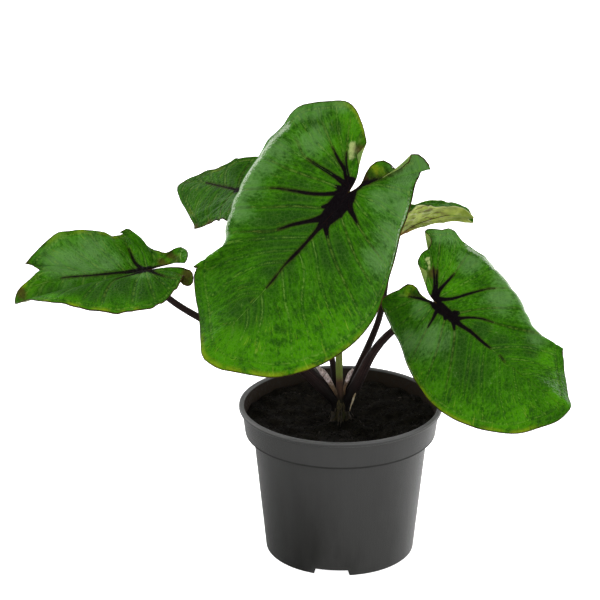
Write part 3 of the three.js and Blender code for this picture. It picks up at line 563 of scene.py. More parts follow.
def leaf_underside(name, green, yellow, brown_share):
    """Lower side: paler, duller and yellower. Where a blade ages it has brown creases on the part
    nearer the pot and orange scorch low down."""
    finish = Finish(name)
    place = finish.place()
    stain, tint = finish.attributes("stain", "tint")
    broad = finish.noise(place, 90)
    mottle = finish.noise(place, 260, 4.0, 0.65)
    creases = finish.noise(finish.place((110, 420, 420)), 1.0, 4.0, 0.65)
    along, up = finish.axis(place, 0), finish.axis(place, 2)
    aged = 1 - along.between(0.054, 0.068)
    scorched = (1 - along.between(0.04, 0.056)) * (1 - up.between(0.184, 0.191))
    colour = finish.layers(
        green,
        (broad.between(0.4, 0.6), yellow),
        (mottle.between(0.42, 0.68) * 0.5, "b9c46a"),
        (creases.between(0.54, 0.62) * (aged * 0.9 + 0.1) * brown_share, "5c4a2c"),
        # Painted highlight: cream between the brown creases.
        ((1 - creases.between(0.36, 0.44)) * brown_share * (aged * 0.8 + 0.2), "dedfa8"),
        ((tint + scorched + mottle * 0.8 - 0.4).between(0.2, 0.8) * brown_share, "b07a2c"),
        (stain.between(-0.4, 0.8) * 0.5, "5c4a28"))
    return finish.done(finish.surface(
        Base_Color=colour, Roughness=0.55 + mottle * 0.15,
        Normal=finish.bump(mottle + creases * 0.8, 0.0005), Specular_IOR_Level=0.2))


def vein_finish(name, near, far, low=0.35, high=0.65):
    """Skin of a vein or a margin, passing from one colour to another along its length."""
    finish = Finish(name)
    colour = finish.layers(near, (finish.noise(finish.place(), 130).between(low, high), far))
    return finish.done(finish.surface(Base_Color=colour, Roughness=0.45,
                                      Specular_IOR_Level=LEAF_GLOSS))


def stalk_finish(name, skin, streak, foot, foot_low, foot_high):
    """Stalk skin with fine streaks along its length, changing colour towards the foot."""
    finish = Finish(name)
    around, along = finish.attributes("around", "along")
    turn = around * (2 * math.pi)
    streaks = finish.noise(
        finish.vector(finish.math("COSINE", turn), finish.math("SINE", turn), along * 5.0),
        8.0, 4.0, 0.75)
    place = finish.place()
    speckle = finish.noise(place, 1400, 2.0)
    colour = finish.layers(
        skin, (streaks.between(0.42, 0.66), streak), (speckle.between(0.6, 0.72) * 0.4, streak),
        (1 - finish.axis(place, 2).between(foot_low * MM, foot_high * MM), foot))
    return finish.done(finish.surface(Base_Color=colour, Roughness=0.52 + streaks * 0.2,
                                      Normal=finish.bump(streaks, 0.0004), Specular_IOR_Level=0.12))


def sheath_lining():
    """Pale pink inner skin that shows at the free edge of a sheath, dark towards its foot."""
    finish = Finish("sheath_lining")
    streaks = finish.noise(finish.place((1, 1, 0.35)), 1500, 4.0, 0.7)
    height = finish.axis(finish.place(), 2)
    blots = finish.noise(finish.place((1, 1, 0.6)), 620, 3.0, 0.6)
    colour = finish.layers(
        "d8cac8",
        (streaks.between(0.4, 0.62), "a48a84"),
        (1 - (height + blots * 0.008 - 0.004).between(0.1045, 0.1085), "64503a"),
        ((1 - blots.between(0.36, 0.5)) * 0.7, "3c2c22"),
        (1 - (height + streaks * 0.006 - 0.003).between(0.096, 0.102), "1c1510"))
    return finish.done(finish.surface(Base_Color=colour, Roughness=0.5, Specular_IOR_Level=0.25,
                                      Normal=finish.bump(streaks, 0.0003)))


def crown_skin():
    """Old olive-brown sheath skin, split into fibres."""
    finish = Finish("crown_skin")
    fibres = finish.noise(finish.place((1, 1, 0.16)), 1500, 5.0, 0.7)
    broad = finish.noise(finish.place(), 300)
    colour = finish.layers("201c12", (fibres.between(0.4, 0.62), "4a432a"),
                           (broad.between(0.5, 0.68) * 0.6, "363e1e"))
    return finish.done(finish.surface(Base_Color=colour, Roughness=0.75, Specular_IOR_Level=0.2,
                                      Normal=finish.bump(fibres, 0.0006)))


def potting_soil():
    """Moist, near-black peat with lighter fibres."""
    finish = Finish("potting_soil")
    place = finish.place()
    coarse = finish.noise(place, 260, 5.0, 0.7)
    fine = finish.noise(place, 1300, 4.0, 0.7)
    colour = finish.layers("13110e", (coarse.between(0.4, 0.66), "231f19"),
                           (fine.between(0.62, 0.76) * 0.5, "342c22"))
    return finish.done(finish.surface(
        Base_Color=colour, Roughness=0.82 + fine * 0.12,
        Normal=finish.bump(coarse * 0.7 + fine * 0.4, 0.0014), Specular_IOR_Level=0.1))


def fibre_finish(name, near, far):
    """Dry dull fibre of two mixed colours."""
    finish = Finish(name)
    colour = finish.layers(near, (finish.noise(finish.place(), 420).between(0.35, 0.65), far))
    return finish.done(finish.surface(Base_Color=colour, Roughness=0.7))


def pot_plastic():
    """Moulded grey plastic with a fine grain, painted shade that darkens it towards the bottom, a
    painted highlight along the lip, a line of painted shade under the band and soil dust on the
    inner wall."""
    finish = Finish("pot_plastic")
    place = finish.place()
    height = finish.axis(place, 2)
    grain = finish.noise(place, 2600, 3.0, 0.6)
    flow = finish.noise(finish.place((1, 1, 0.25)), 60)
    dust = finish.noise(place, 500, 5.0, 0.7)
    wall_middle = (height - (POT_HEIGHT - BAND_HEIGHT) * MM) * (
        (BAND_TOP_RADIUS - BAND_LOW_RADIUS) / BAND_HEIGHT) + (BAND_LOW_RADIUS - POT_WALL * 0.5) * MM
    outward = finish.length(finish.place((1, 1, 0))) - wall_middle
    inside = (1 - outward.between(-0.0003, 0.0002)) * height.between(0.074, 0.0745)
    below_rim = 1 - height.between(0.0905, 0.0912)
    soiled = inside * below_rim * (0.8 + dust.between(0.35, 0.6) * 0.2)
    # Painted shade in the corner under the band.
    corner = height.between(0.0728, 0.0738) * (1 - height.between(0.0752, 0.076))
    colour = finish.layers(
        # Painted shade: the plastic darker towards the bottom.
        "1c1c1a", (height.between(0.0, 0.1), "3a3a39"), (flow.between(0.3, 0.7) * 0.3, "424241"),
        # Painted highlight along the lip, and painted shade in the corner under the band.
        (height.between(0.0908, 0.0916) * 0.6, "6e6e6e"), (corner * 0.5, "121211"))
    plastic = finish.surface(Base_Color=colour, Roughness=0.32 + grain * 0.14 + corner * 0.5,
                             Normal=finish.bump(grain, 0.00012), Specular_IOR_Level=0.2)
    dirt = finish.surface(Base_Color=finish.layers("261f1a", (dust.between(0.3, 0.8), "322a23")),
                          Roughness=0.9, Specular_IOR_Level=0.05)
    return finish.done(finish.add("ShaderNodeMixShader", None, {0: soiled, 1: plastic, 2: dirt}))


def card_paper():
    """Matt pale paper."""
    finish = Finish("card_paper")
    return finish.done(finish.surface(Base_Color=hue("ececec"), Roughness=0.9,
                                      Specular_IOR_Level=0.0))


def smooth(value):
    t = np.clip(value, 0, 1)
    return t * t * (3 - 2 * t)

def unit(vectors):
    return vectors / np.maximum(np.linalg.norm(vectors, axis=-1, keepdims=True), 1e-12)


def run_length(points):
    """Distance along a path at each of its points."""
    return np.concatenate([[0], np.cumsum(np.linalg.norm(np.diff(points, axis=0), axis=1))])

def spline(points, count):
    """Evenly spaced points of a smooth curve through points, with their place from 0 to 1."""
    points = np.array(points, float)
    ends = np.vstack([2 * points[0] - points[1], points, 2 * points[-1] - points[-2]])
    pieces, places = [], []
    for k in range(1, len(ends) - 2):
        before, start, end, after = ends[k - 1:k + 3]
        knots = [0.0]
        for a, b in ((before, start), (start, end), (end, after)):
            knots.append(knots[-1] + max(math.sqrt(float(np.linalg.norm(b - a))), 1e-6))
        t0, t1, t2, t3 = knots
        t = np.linspace(t1, t2, 30, endpoint=k == len(ends) - 3)[:, None]
        a1 = (t1 - t) / (t1 - t0) * before + (t - t0) / (t1 - t0) * start
        a2 = (t2 - t) / (t2 - t1) * start + (t - t1) / (t2 - t1) * end
        a3 = (t3 - t) / (t3 - t2) * end + (t - t2) / (t3 - t2) * after
        b1 = (t2 - t) / (t2 - t0) * a1 + (t - t0) / (t2 - t0) * a2
        b2 = (t3 - t) / (t3 - t1) * a2 + (t - t1) / (t3 - t1) * a3
        pieces.append((t2 - t) / (t2 - t1) * b1 + (t - t1) / (t2 - t1) * b2)
        places.append((k - 1 + (t[:, 0] - t1) / (t2 - t1)) / (len(points) - 1))
    fine = np.vstack(pieces)
    length = run_length(fine)
    even = np.linspace(0, length[-1], count)
    resampled = np.stack([np.interp(even, length, column) for column in fine.T], axis=1)
    return resampled, np.interp(even, length, np.concatenate(places))

def tapered(points, radii, count):
    """A smooth path through points, with its radius at each place."""
    fine, place = spline(points, count)
    return fine, np.interp(place * (len(points) - 1), np.arange(len(radii)), radii)


class Blade:
    """A leaf blade: points of its sheet from an angle and a distance in the flat leaf."""

    def __init__(self, leaf):
        self.leaf = leaf
        self.form = np.array([row + USUAL_ROW[len(row):] for row in leaf["form"]], float)
        heading, pitch, roll = (math.radians(leaf[key]) for key in ("heading", "pitch", "roll"))
        self.along = np.array([math.cos(heading) * math.cos(pitch),
                               math.sin(heading) * math.cos(pitch), -math.sin(pitch)])
        level = np.array([math.cos(heading) * math.sin(pitch),
                          math.sin(heading) * math.sin(pitch), math.cos(pitch)])
        self.normal = level * math.cos(roll) - np.cross(self.along, level) * math.sin(roll)
        self.across = np.cross(self.normal, self.along)
        self.first = self.form[0, 0]
        self.last = self.form[-1, 0]

    def rows(self, angles):
        """Values of the form at ray angles, smoothly joined from row to row."""
        form = self.form
        k = np.clip(np.searchsorted(form[:, 0], angles, side="left") - 1, 0, len(form) - 2)
        slopes = np.diff(form[:, 1:], axis=0) / np.diff(form[:, :1], axis=0)
        tangents = np.zeros_like(form[:, 1:])
        tangents[1:-1] = np.where(slopes[:-1] * slopes[1:] <= 0, 0, (slopes[:-1] + slopes[1:]) / 2)
        step = (form[k + 1, 0] - form[k, 0])[:, None]
        t = (angles - form[k, 0])[:, None] / step
        return ((2 * t**3 - 3 * t**2 + 1) * form[k, 1:] + (t**3 - 2 * t**2 + t) * step * tangents[k]
                + (3 * t**2 - 2 * t**3) * form[k + 1, 1:] + (t**3 - t**2) * step * tangents[k + 1])

    def reach(self, angles):
        return self.rows(np.clip(angles, self.first, self.last))[:, 0]

    def sheet(self, angles, rings):
        """Points at equal places from the junction to the margin along each ray."""
        leaf = self.leaf
        reach, rise, droop, turn, fold_at, fold = self.rows(angles).T[:, :, None]
        count = rings * RAY_STEPS
        middle = ((np.arange(count) + 0.5) / count)[None]
        distance = middle * reach
        slope = np.radians(
            rise * smooth(distance / leaf["rise_width"]) + droop * middle**1.5
            + fold * smooth((distance - fold_at - leaf["fold_shift"]) / leaf["fold_width"] + 0.5))
        zero = np.zeros((len(angles), 1))
        out = np.hstack([zero, np.cumsum(np.cos(slope), axis=1) * reach / count])[:, ::RAY_STEPS]
        up = np.hstack([zero, np.cumsum(np.sin(slope), axis=1) * reach / count])[:, ::RAY_STEPS]
        place = np.linspace(0, 1, rings + 1)[None]
        turned = np.radians(angles[:, None] + turn * place**2) * leaf["mirror"]
        up = up + EDGE_WAVE * place**2 * np.sin(np.radians(angles * EDGE_WAVES))[:, None]
        up = up + ripple(angles)[:, None] * place**5
        points = (np.array(leaf["at"])
                  + leaf["scale"] * ((out * np.cos(turned))[..., None] * self.along
                                     + (out * np.sin(turned))[..., None] * self.across
                                     + up[..., None] * self.normal))
        return points, place * reach

    def sheen_band(self, flat, inset):
        """1 along the crest of a fold or inside a drooping margin, where sheen and highlights are
        painted and the coat shines, 0 away from it.
        """
        distance = np.hypot(flat[:, 0], flat[:, 1])
        angles = np.degrees(np.arctan2(flat[:, 1], flat[:, 0]))
        _, _, droop, _, fold_at, fold = self.rows(np.clip(angles, self.first, self.last)).T
        crest = np.exp(-((distance - fold_at - self.leaf["fold_shift"] - 1) / 4)**2)
        rim = np.exp(-((inset - 1.8) / 1.1)**2) * smooth((-droop - 35) / 30)
        return np.maximum(crest * smooth(np.abs(fold) / 50), rim)

    def even_angles(self, count):
        """Ray angles spaced along the margin, mostly by its length and partly by angle."""
        fine = np.linspace(self.first, self.last, FINE_ANGLES)
        length = run_length(self.sheet(fine, 24)[0][:, -1])
        length = length + np.arange(FINE_ANGLES) / FINE_ANGLES * length[-1] * 0.35
        return np.interp(np.linspace(0, length[-1], count), length, fine)

def ripple(angles):
    """Small uneven flutter of the margin, in millimetres."""
    turn = np.radians(angles)
    return (0.35 * np.sin(17 * turn + 0.6) + 0.25 * np.sin(29 * turn + 2.1)
            + 0.15 * np.sin(43 * turn))

def nearest(flat, path):
    """Distance from each flat point to a path, and how far along the path in millimetres."""
    best = np.full(len(flat), 1e9)
    along = np.zeros(len(flat))
    travelled = 0.0
    for start, end in zip(path[:-1], path[1:]):
        step = end - start
        length = math.hypot(*step)
        t = np.clip((flat - start) @ step / max(length**2, 1e-9), 0, 1)
        distance = np.hypot(flat[:, 0] - start[0] - t * step[0],
                            flat[:, 1] - start[1] - t * step[1])
        closer = distance < best
        best = np.where(closer, distance, best)
        along = np.where(closer, travelled + t * length, along)
        travelled += length
    return best, along

def vein_paths(blade):
    """Each side vein as a path to just inside the margin, its length, dark share and width."""
    veins = []
    for points, angle, *dark in blade.leaf["veins"]:
        reach = blade.reach(np.array([float(angle)]))[0] * VEIN_REACH
        turn = math.radians(angle)
        path = spline([*points, (reach * math.cos(turn), reach * math.sin(turn))], 14)[0]
        veins.append((path, run_length(path)[-1], *(dark or (0, 0))))
    return veins


def midrib_path(blade):
    """Points of the midrib and the half width of its dark part at each."""
    midrib = blade.leaf["midrib"]
    return tapered([point[:2] for point in midrib], [point[2] for point in midrib], 60)


def collective_path(blade):
    """The vein that runs round the blade just inside its margin."""
    angles = np.linspace(blade.first * NEAR_SINUS, blade.last * NEAR_SINUS, 70)
    reach = blade.reach(angles) * VEIN_REACH
    turn = np.radians(angles)
    return np.stack([reach * np.cos(turn), reach * np.sin(turn)], axis=1)

def vein_fields(blade, flat, inset):
    """Attributes of a blade's points: what the veins and the margin do to its colour and relief."""
    rib, rib_width = midrib_path(blade)
    rib_gap, rib_along = nearest(flat, rib)
    here = np.interp(rib_along, run_length(rib), rib_width)
    stain = np.where(here > 0.05, here - rib_gap, -4.0)
    faint = 0.3 - rib_gap
    gaps = []
    for path, length, share, width in vein_paths(blade):
        gap, along = nearest(flat, path)
        gaps.append(gap)
        if share > 0:
            dark = length * share
            flare = 1.1 * np.exp(-along / 3.5)
            taper = np.clip(1 - along / dark, 0, 1)**0.6
            stain = np.maximum(stain, np.where(along < dark, flare + width * taper - gap, -4.0))
            faint = np.maximum(faint, 0.45 - gap - 0.8 * smooth((along / length - 0.75) / 0.2))
    left = flat[:, 1] < np.interp(flat[:, 0], rib[:, 0], rib[:, 1])
    count = sum(1 for vein in blade.leaf["veins"] if vein[1] < 0)
    stripe = np.where(left, -stripe_of(np.array([rib_gap] + gaps[:count])),
                      stripe_of(np.array([rib_gap] + gaps[count:])))
    gap = np.minimum(np.min(gaps, axis=0), nearest(flat, collective_path(blade))[0])
    pale = 0.35 - gap
    groove = np.maximum(np.exp(-(gap / 1.1)**2) * 0.6, np.exp(-(rib_gap / 1.8)**2))
    swell = (1 - np.exp(-np.minimum(gap, rib_gap) / 4.0)) * smooth(inset / 8)
    relief = blade.leaf["relief"] * swell - 0.35 * groove
    fields = dict(stain=stain, faint=faint, pale=pale, stripe=stripe,
                  outward=np.hypot(flat[:, 0], flat[:, 1]), sheen_band=blade.sheen_band(flat, inset))
    for kind, places in PATCHES[blade.leaf["name"]].items():
        fields[kind] = patches(flat, places)
    return fields, relief

def patches(flat, spots):
    """1 in the middle of each soft patch, 0 well outside."""
    field = np.zeros(len(flat))
    for x, y, radius in spots:
        field = np.maximum(field, np.exp(-np.sum((flat - (x, y))**2, axis=1) / radius**2))
    return field

def stripe_of(gaps):
    """Which vein a point lies at, counted from the midrib, with fractions between veins."""
    nearest_one = np.argmin(gaps, axis=0)
    columns = np.arange(gaps.shape[1])
    before = gaps[np.maximum(nearest_one - 1, 0), columns]
    before = np.where(nearest_one > 0, before, 1e9)
    after = gaps[np.minimum(nearest_one + 1, len(gaps) - 1), columns]
    after = np.where(nearest_one < len(gaps) - 1, after, 1e9)
    mine = gaps[nearest_one, columns]
    share = mine / (mine + np.minimum(before, after) + 1e-6)
    return nearest_one + np.where(after < before, share, -share)

def linked(name, data):
    """A new object in the scene."""
    made = bpy.data.objects.new(name, data)
    bpy.context.scene.collection.objects.link(made)
    return made


def settle(piece, slot, node=None):
    """Says what a finished piece rides on and which solid it stands for. The slot is not used."""
    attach(piece, "root")
    if node:
        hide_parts(node)


def mesh_object(name, vertices, faces, materials, slots=None):
    mesh = bpy.data.meshes.new(name)
    mesh.from_pydata((np.asarray(vertices) * MM).tolist(), [], faces)
    for material in materials:
        mesh.materials.append(material)
    if slots is not None:
        mesh.polygons.foreach_set("material_index", slots)
    mesh.polygons.foreach_set("use_smooth", [True] * len(mesh.polygons))
    mesh.update()
    return linked(name, mesh)


def wire(name, points, edges):
    """An object of bare edges for a tree to build on."""
    mesh = bpy.data.meshes.new(name)
    mesh.from_pydata((np.array(points) * MM).tolist(), edges, [])
    return linked(name, mesh)


def add_attribute(piece, name, values):
    layer = piece.data.attributes.new(name, "FLOAT", "POINT")
    layer.data.foreach_set("value", np.asarray(values, np.float32))

def sheet_normals(grid):
    """Unit normals of a grid of points, of rays by rings."""
    normals = unit(np.cross(np.gradient(grid, axis=1), np.gradient(grid, axis=0)))
    normals[:, 0] = unit(normals[:, 1].mean(axis=0))
    return normals

def blade_piece(blade, top, underside):
    """The sheet of one blade with its attributes; returns its grid, ray angles and rings."""
    leaf = blade.leaf
    rays, rings = leaf["rays"], leaf["rings"]
    angles = blade.even_angles(rays)
    grid, distance = blade.sheet(angles, rings)
    turn = np.radians(angles)[:, None]
    flat = np.stack([distance * np.cos(turn), distance * np.sin(turn)], axis=-1)
    margin = blade.reach(angles)[:, None]
    side = np.minimum(angles - blade.first, blade.last - angles)
    inset = np.minimum(margin - distance,
                       np.radians(side)[:, None] * distance + 3 * np.exp(-distance / 4))
    fields, relief = vein_fields(blade, flat.reshape(-1, 2), inset.reshape(-1))
    normals = sheet_normals(grid) * leaf["mirror"]
    grid = grid + normals * relief.reshape(grid.shape[:2])[..., None] * leaf["scale"]
    half = BLADE_THICKNESS / 2

    centre = grid[0, 0]
    up = unit(normals[:, 1].mean(axis=0))
    layers = [np.vstack([(centre + up * sign * half)[None],
                         (grid + normals * sign * half)[:, 1:].reshape(-1, 3)]) for sign in (1, -1)]
    count = 1 + rays * rings
    index = 1 + np.arange(rays * rings).reshape(rays, rings)
    quads = np.stack([index[:-1, :-1], index[:-1, 1:], index[1:, 1:], index[1:, :-1]],
                     axis=-1).reshape(-1, 4)
    fan = np.stack([np.zeros(rays - 1, int), index[:-1, 0], index[1:, 0]], axis=-1)
    edge = np.concatenate([[0], index[0], index[1:, -1], index[-1, -2::-1]])
    following = np.roll(edge, -1)
    wall = np.stack([edge, edge + count, following + count, following], axis=-1)
    if leaf["mirror"] < 0:
        quads, fan, wall = quads[:, ::-1], fan[:, ::-1], wall[:, ::-1]
    faces = (quads.tolist() + fan.tolist() + (quads[:, ::-1] + count).tolist()
             + (fan[:, ::-1] + count).tolist() + wall.tolist())
    upper_faces = len(quads) + len(fan)
    slots = [0] * upper_faces + [1] * upper_faces + [0] * len(wall)
    piece = mesh_object("leaf_" + leaf["name"], np.vstack(layers), faces, [top, underside], slots)
    for key, values in dict(fields, inset=inset.reshape(-1)).items():
        shaped = np.asarray(values).reshape(rays, rings + 1)
        one_side = np.concatenate([[shaped[:, 0].mean()], shaped[:, 1:].reshape(-1)])
        add_attribute(piece, key, np.concatenate([one_side, one_side]))
    settle(piece, "blade", "blade_" + leaf["name"])
    return grid, angles, rings

def on_sheet(blade, grid, angles, rings, path):
    """Points of a flat path on a blade's finished sheet."""
    turn = np.clip(np.degrees(np.arctan2(path[:, 1], path[:, 0])), angles[0], angles[-1])
    place = np.clip(np.linalg.norm(path, axis=1) / blade.reach(turn), 0, 1)
    i = np.interp(turn, angles, np.arange(len(angles)))
    j = place * rings
    low_i = np.clip(i.astype(int), 0, len(angles) - 2)
    low_j = np.clip(j.astype(int), 0, rings - 1)
    u = (i - low_i)[:, None]
    v = (j - low_j)[:, None]
    return ((1 - u) * (1 - v) * grid[low_i, low_j] + u * (1 - v) * grid[low_i + 1, low_j]
            + (1 - u) * v * grid[low_i, low_j + 1] + u * v * grid[low_i + 1, low_j + 1])

class Tree(Nodes):
    """A Geometry Nodes tree under construction, with named inputs for its sizes."""

    SOCKETS = {"size": "NodeSocketFloat", "count": "NodeSocketInt", "finish": "NodeSocketMaterial"}

    def __init__(self, name, **inputs):
        super().__init__(bpy.data.node_groups.new(name, "GeometryNodeTree"))
        interface = self.tree.interface
        for way in ("INPUT", "OUTPUT"):
            interface.new_socket("Geometry", in_out=way, socket_type="NodeSocketGeometry")
        self.identifiers = {}
        for key, kind in inputs.items():
            socket = interface.new_socket(key, in_out="INPUT", socket_type=self.SOCKETS[kind])
            self.identifiers[key] = socket.identifier
        self.start = self.make("NodeGroupInput")
        self.geometry = self.input("Geometry")

    def input(self, key):
        return Value(self, self.start.outputs[key])

    def finish(self, geometry):
        """Ends the tree in plain mesh with its material."""
        whole = self.add("GeometryNodeRealizeInstances", None, {0: geometry})
        whole = self.add("GeometryNodeSetMaterial", None,
                         {0: whole, "Material": self.input("Finish")})
        self.make("NodeGroupOutput", None, {0: whole})
        return self

    def grow(self, name, base, **values):
        """The plain mesh that the tree makes of a base object, under a new name."""
        modifier = base.modifiers.new(name, "NODES")
        modifier.node_group = self.tree
        for key, value in values.items():
            modifier[self.identifiers[key]] = value
        evaluated = base.evaluated_get(bpy.context.evaluated_depsgraph_get())
        mesh = bpy.data.meshes.new_from_object(evaluated)
        mesh.name = name
        bpy.data.objects.remove(base)
        return linked(name, mesh)


def rod_tree():
    """Round rods along the paths of a mesh of edges, as thick as its points' thickness says."""
    tree = Tree("rods_along_paths", Sides="count", Finish="finish")

    def with_place(curve, name, output):
        """A curve whose points carry how far along it they are."""
        return tree.add("GeometryNodeStoreNamedAttribute",
                        {"data_type": "FLOAT", "domain": "POINT"},
                        {"Geometry": curve, "Name": name,
                         "Value": tree.add("GeometryNodeSplineParameter", output=output)})

    curve = tree.add("GeometryNodeMeshToCurve", None, {0: tree.geometry})
    ring = tree.add("GeometryNodeCurvePrimitiveCircle", {"mode": "RADIUS"},
                    {"Resolution": tree.input("Sides"), "Radius": 1.0})
    thickness = tree.add("GeometryNodeInputNamedAttribute", {"data_type": "FLOAT"},
                         {"Name": "thickness"})
    rods = tree.add("GeometryNodeCurveToMesh", None,
                    {"Curve": with_place(curve, "along", 1),
                     "Profile Curve": with_place(ring, "around", 0),
                     "Scale": thickness, "Fill Caps": True})
    return tree.finish(tree.add("GeometryNodeSetShadeSmooth", None, {"Geometry": rods}))


RODS = rod_tree()


def rods(name, paths, sides, finish):
    """A mesh of rods from (points, radii) pairs in millimetres."""
    points, edges, radii = [], [], []
    for path, radius in paths:
        first = len(points)
        points.extend(np.asarray(path).tolist())
        radii.extend(np.broadcast_to(radius, len(path)).tolist())
        edges.extend((first + i, first + i + 1) for i in range(len(path) - 1))
    base = wire(name + "_paths", points, edges)
    layer = base.data.attributes.new("thickness", "FLOAT", "POINT")
    layer.data.foreach_set("value", np.array(radii, np.float32) * MM)
    return RODS.grow(name, base, Sides=sides, Finish=finish)


def vein_pieces(blade, grid, angles, rings):
    """Ribs of the veins and the thickened margin of one blade."""
    name, scale = blade.leaf["name"], blade.leaf["scale"]
    half = BLADE_THICKNESS / 2

    def laid(path):
        return on_sheet(blade, grid, angles, rings, path)

    rib, rib_width = midrib_path(blade)
    dark_end = int(np.argmax(rib_width < 0.05))
    fine = spline(rib[dark_end - 1:], 80)[0]
    pale = [(laid(fine), np.linspace(half + 0.12, half - 0.03, len(fine)) * scale)]
    dark = [(laid(spline(rib[:dark_end], 60)[0]), (half + 0.1) * scale)]
    rib_length = run_length(rib)[-1]
    for path, _, share, _ in vein_paths(blade):
        fine = spline(path, 44)[0]
        radius = np.linspace(half + 0.06, half - 0.05, len(fine)) * scale
        first = int(share * len(fine))
        if first > 3:
            dark.append((laid(fine[:first]), radius[:first] * 1.04))
        rib_gap, rib_along = nearest(fine, rib)
        rib_here = np.interp(rib_along / rib_length, np.linspace(0, 1, len(rib)), rib_width)
        first = max(first - 1, int(np.argmax(rib_gap > rib_here + 0.8)))
        pale.append((laid(fine[first:]), radius[first:]))
    margin = np.vstack([grid[0], grid[1:, -1], grid[-1, -2::-1]])
    sinus = np.zeros(len(grid[0]))
    sides = np.concatenate([sinus, angles[1:], sinus[1:]])
    thick = MARGIN_RADIUS + (MARGIN_EXTRA * smooth((sides - 15) / 25)
                             + blade.leaf["rolled"] * smooth((sides - 45) / 35)
                             * smooth((152 - sides) / 8)) * scale
    margin_finish = FINISHES["old_margin" if name == "back_right" else "margin"]
    settle(rods("dark_veins_" + name, dark, 8, FINISHES["dark_vein"]), "blade")
    settle(rods("pale_veins_" + name, pale, 6, FINISHES["pale_vein"]), "blade")
    settle(rods("margin_" + name, [(margin[::2], thick[::2])], 6, margin_finish), "blade")


def stalk_piece(blade):
    """A stalk from just inside the crown to the underside of its blade."""
    name = blade.leaf["name"]
    points, radii = STALKS[name]
    foot = np.array(points[0])
    end = np.array(blade.leaf["at"]) - blade.normal * (BLADE_THICKNESS / 2)
    path = [foot - (0, 0, 3), foot + (0, 0, 1), *points[1:], end - blade.normal * 1.8, end]
    widths = [radii[0], *radii, radii[-1] * 1.15]
    colour = "green" if name == "front" else "dark"
    piece = rods("petiole_" + name, [tapered(path, widths, 90)], 24, FINISHES[colour + "_stalk"])
    settle(piece, "stalk_pale" if name == "front" else "stalk_dark", "stalk_" + name)


def sheath_pieces():
    for name, (finish, sides, edges) in SHEATHS.items():
        paths = [tapered(points, radii, 40) for points, radii in edges]
        settle(rods(name, paths, sides, FINISHES[finish]), "crown")


def crown_piece():
    """Neck of overlapping old sheaths over the root plug."""
    profile = [(6.6, 76.5), (6.0, 79), (5.4, 81.5), (5.0, 84), (4.8, 87), (5.0, 90), (4.6, 92.5),
               (3.2, 95), (1.2, 96)]
    fine = spline(profile, 40)[0]
    segments = 96
    turn = np.linspace(0, 2 * math.pi, segments, endpoint=False)
    rings = []
    for radius, height in fine:
        lift = (height - 76) / 20
        ridge = 0.26 * np.sin(7 * turn + 2 * lift) + 0.16 * np.sin(19 * turn - 3 * lift)
        wide = radius + ridge + 0.5 * np.cos(turn * 2) * lift
        sway = 1.0 * np.sin(3 * turn + 1) * smooth((height - 88) / 5)
        rings.append(np.stack([wide * np.cos(turn), wide * np.sin(turn) + CROWN_Y,
                               np.full(segments, height) + sway], axis=1))
    vertices = np.vstack([[(0, CROWN_Y, 76)], *rings, [(0, CROWN_Y, 96.4)]])
    index = 1 + np.arange(len(fine) * segments).reshape(len(fine), segments)
    after = np.roll(index, -1, axis=1)
    walls = np.stack([index[:-1], after[:-1], after[1:], index[1:]], axis=-1).reshape(-1, 4)
    last = len(vertices) - 1
    caps = [(0, int(b), int(a)) for a, b in zip(index[0], after[0])]
    caps += [(last, int(a), int(b)) for a, b in zip(index[-1], after[-1])]
    piece = mesh_object("crown_sheaths", vertices, walls.tolist() + caps, [FINISHES["crown_skin"]])
    settle(piece, "crown", "crown")


def soil_height(x, y):
    """Level of the soil's top: the solid's ripple with crumbly relief on it."""
    bump = np.sin(x * 0.31 + 1.3) * np.cos(y * 0.27) + 0.6 * np.sin(x * 0.17 - y * 0.43)
    crumb = (np.sin(x * 1.9 + 1.7 * np.sin(y * 0.9)) * np.sin(y * 2.3 + 1.4 * np.sin(x * 1.1))
             + 0.6 * np.sin(x * 3.7 - y * 2.9))
    mound = 1.6 * np.exp(-(x**2 + (y - CROWN_Y)**2) / 90)
    bank = SOIL_BANK * smooth((np.hypot(x, y) - 18) / 36)
    return SOIL_LEVEL + SOIL_BUMP * bump + 0.35 * crumb + 0.35 + mound + bank

def soil_top_piece(finish):
    rings, segments = 60, 200
    radius = (SOIL_RADIUS * np.sqrt(np.linspace(0, 1, rings + 1)[1:]))[:, None]
    turn = np.linspace(0, 2 * math.pi, segments, endpoint=False)[None]
    x, y = radius * np.cos(turn), radius * np.sin(turn)
    z = soil_height(x, y) - 0.9 * smooth((radius - SOIL_RADIUS) / SOIL_EDGE + 1)
    top = np.stack([x, y, z], axis=-1).reshape(-1, 3)
    centre = [(0, 0, float(soil_height(np.array(0.0), np.array(0.0))))]
    index = 1 + np.arange(rings * segments).reshape(rings, segments)
    after = np.roll(index, -1, axis=1)
    faces = np.stack([index[:-1], index[1:], after[1:], after[:-1]], axis=-1).reshape(-1, 4)
    fan = [(0, int(a), int(b)) for a, b in zip(index[0], after[0])]
    return mesh_object("soil_top", np.vstack([centre, top]), faces.tolist() + fan, [finish])


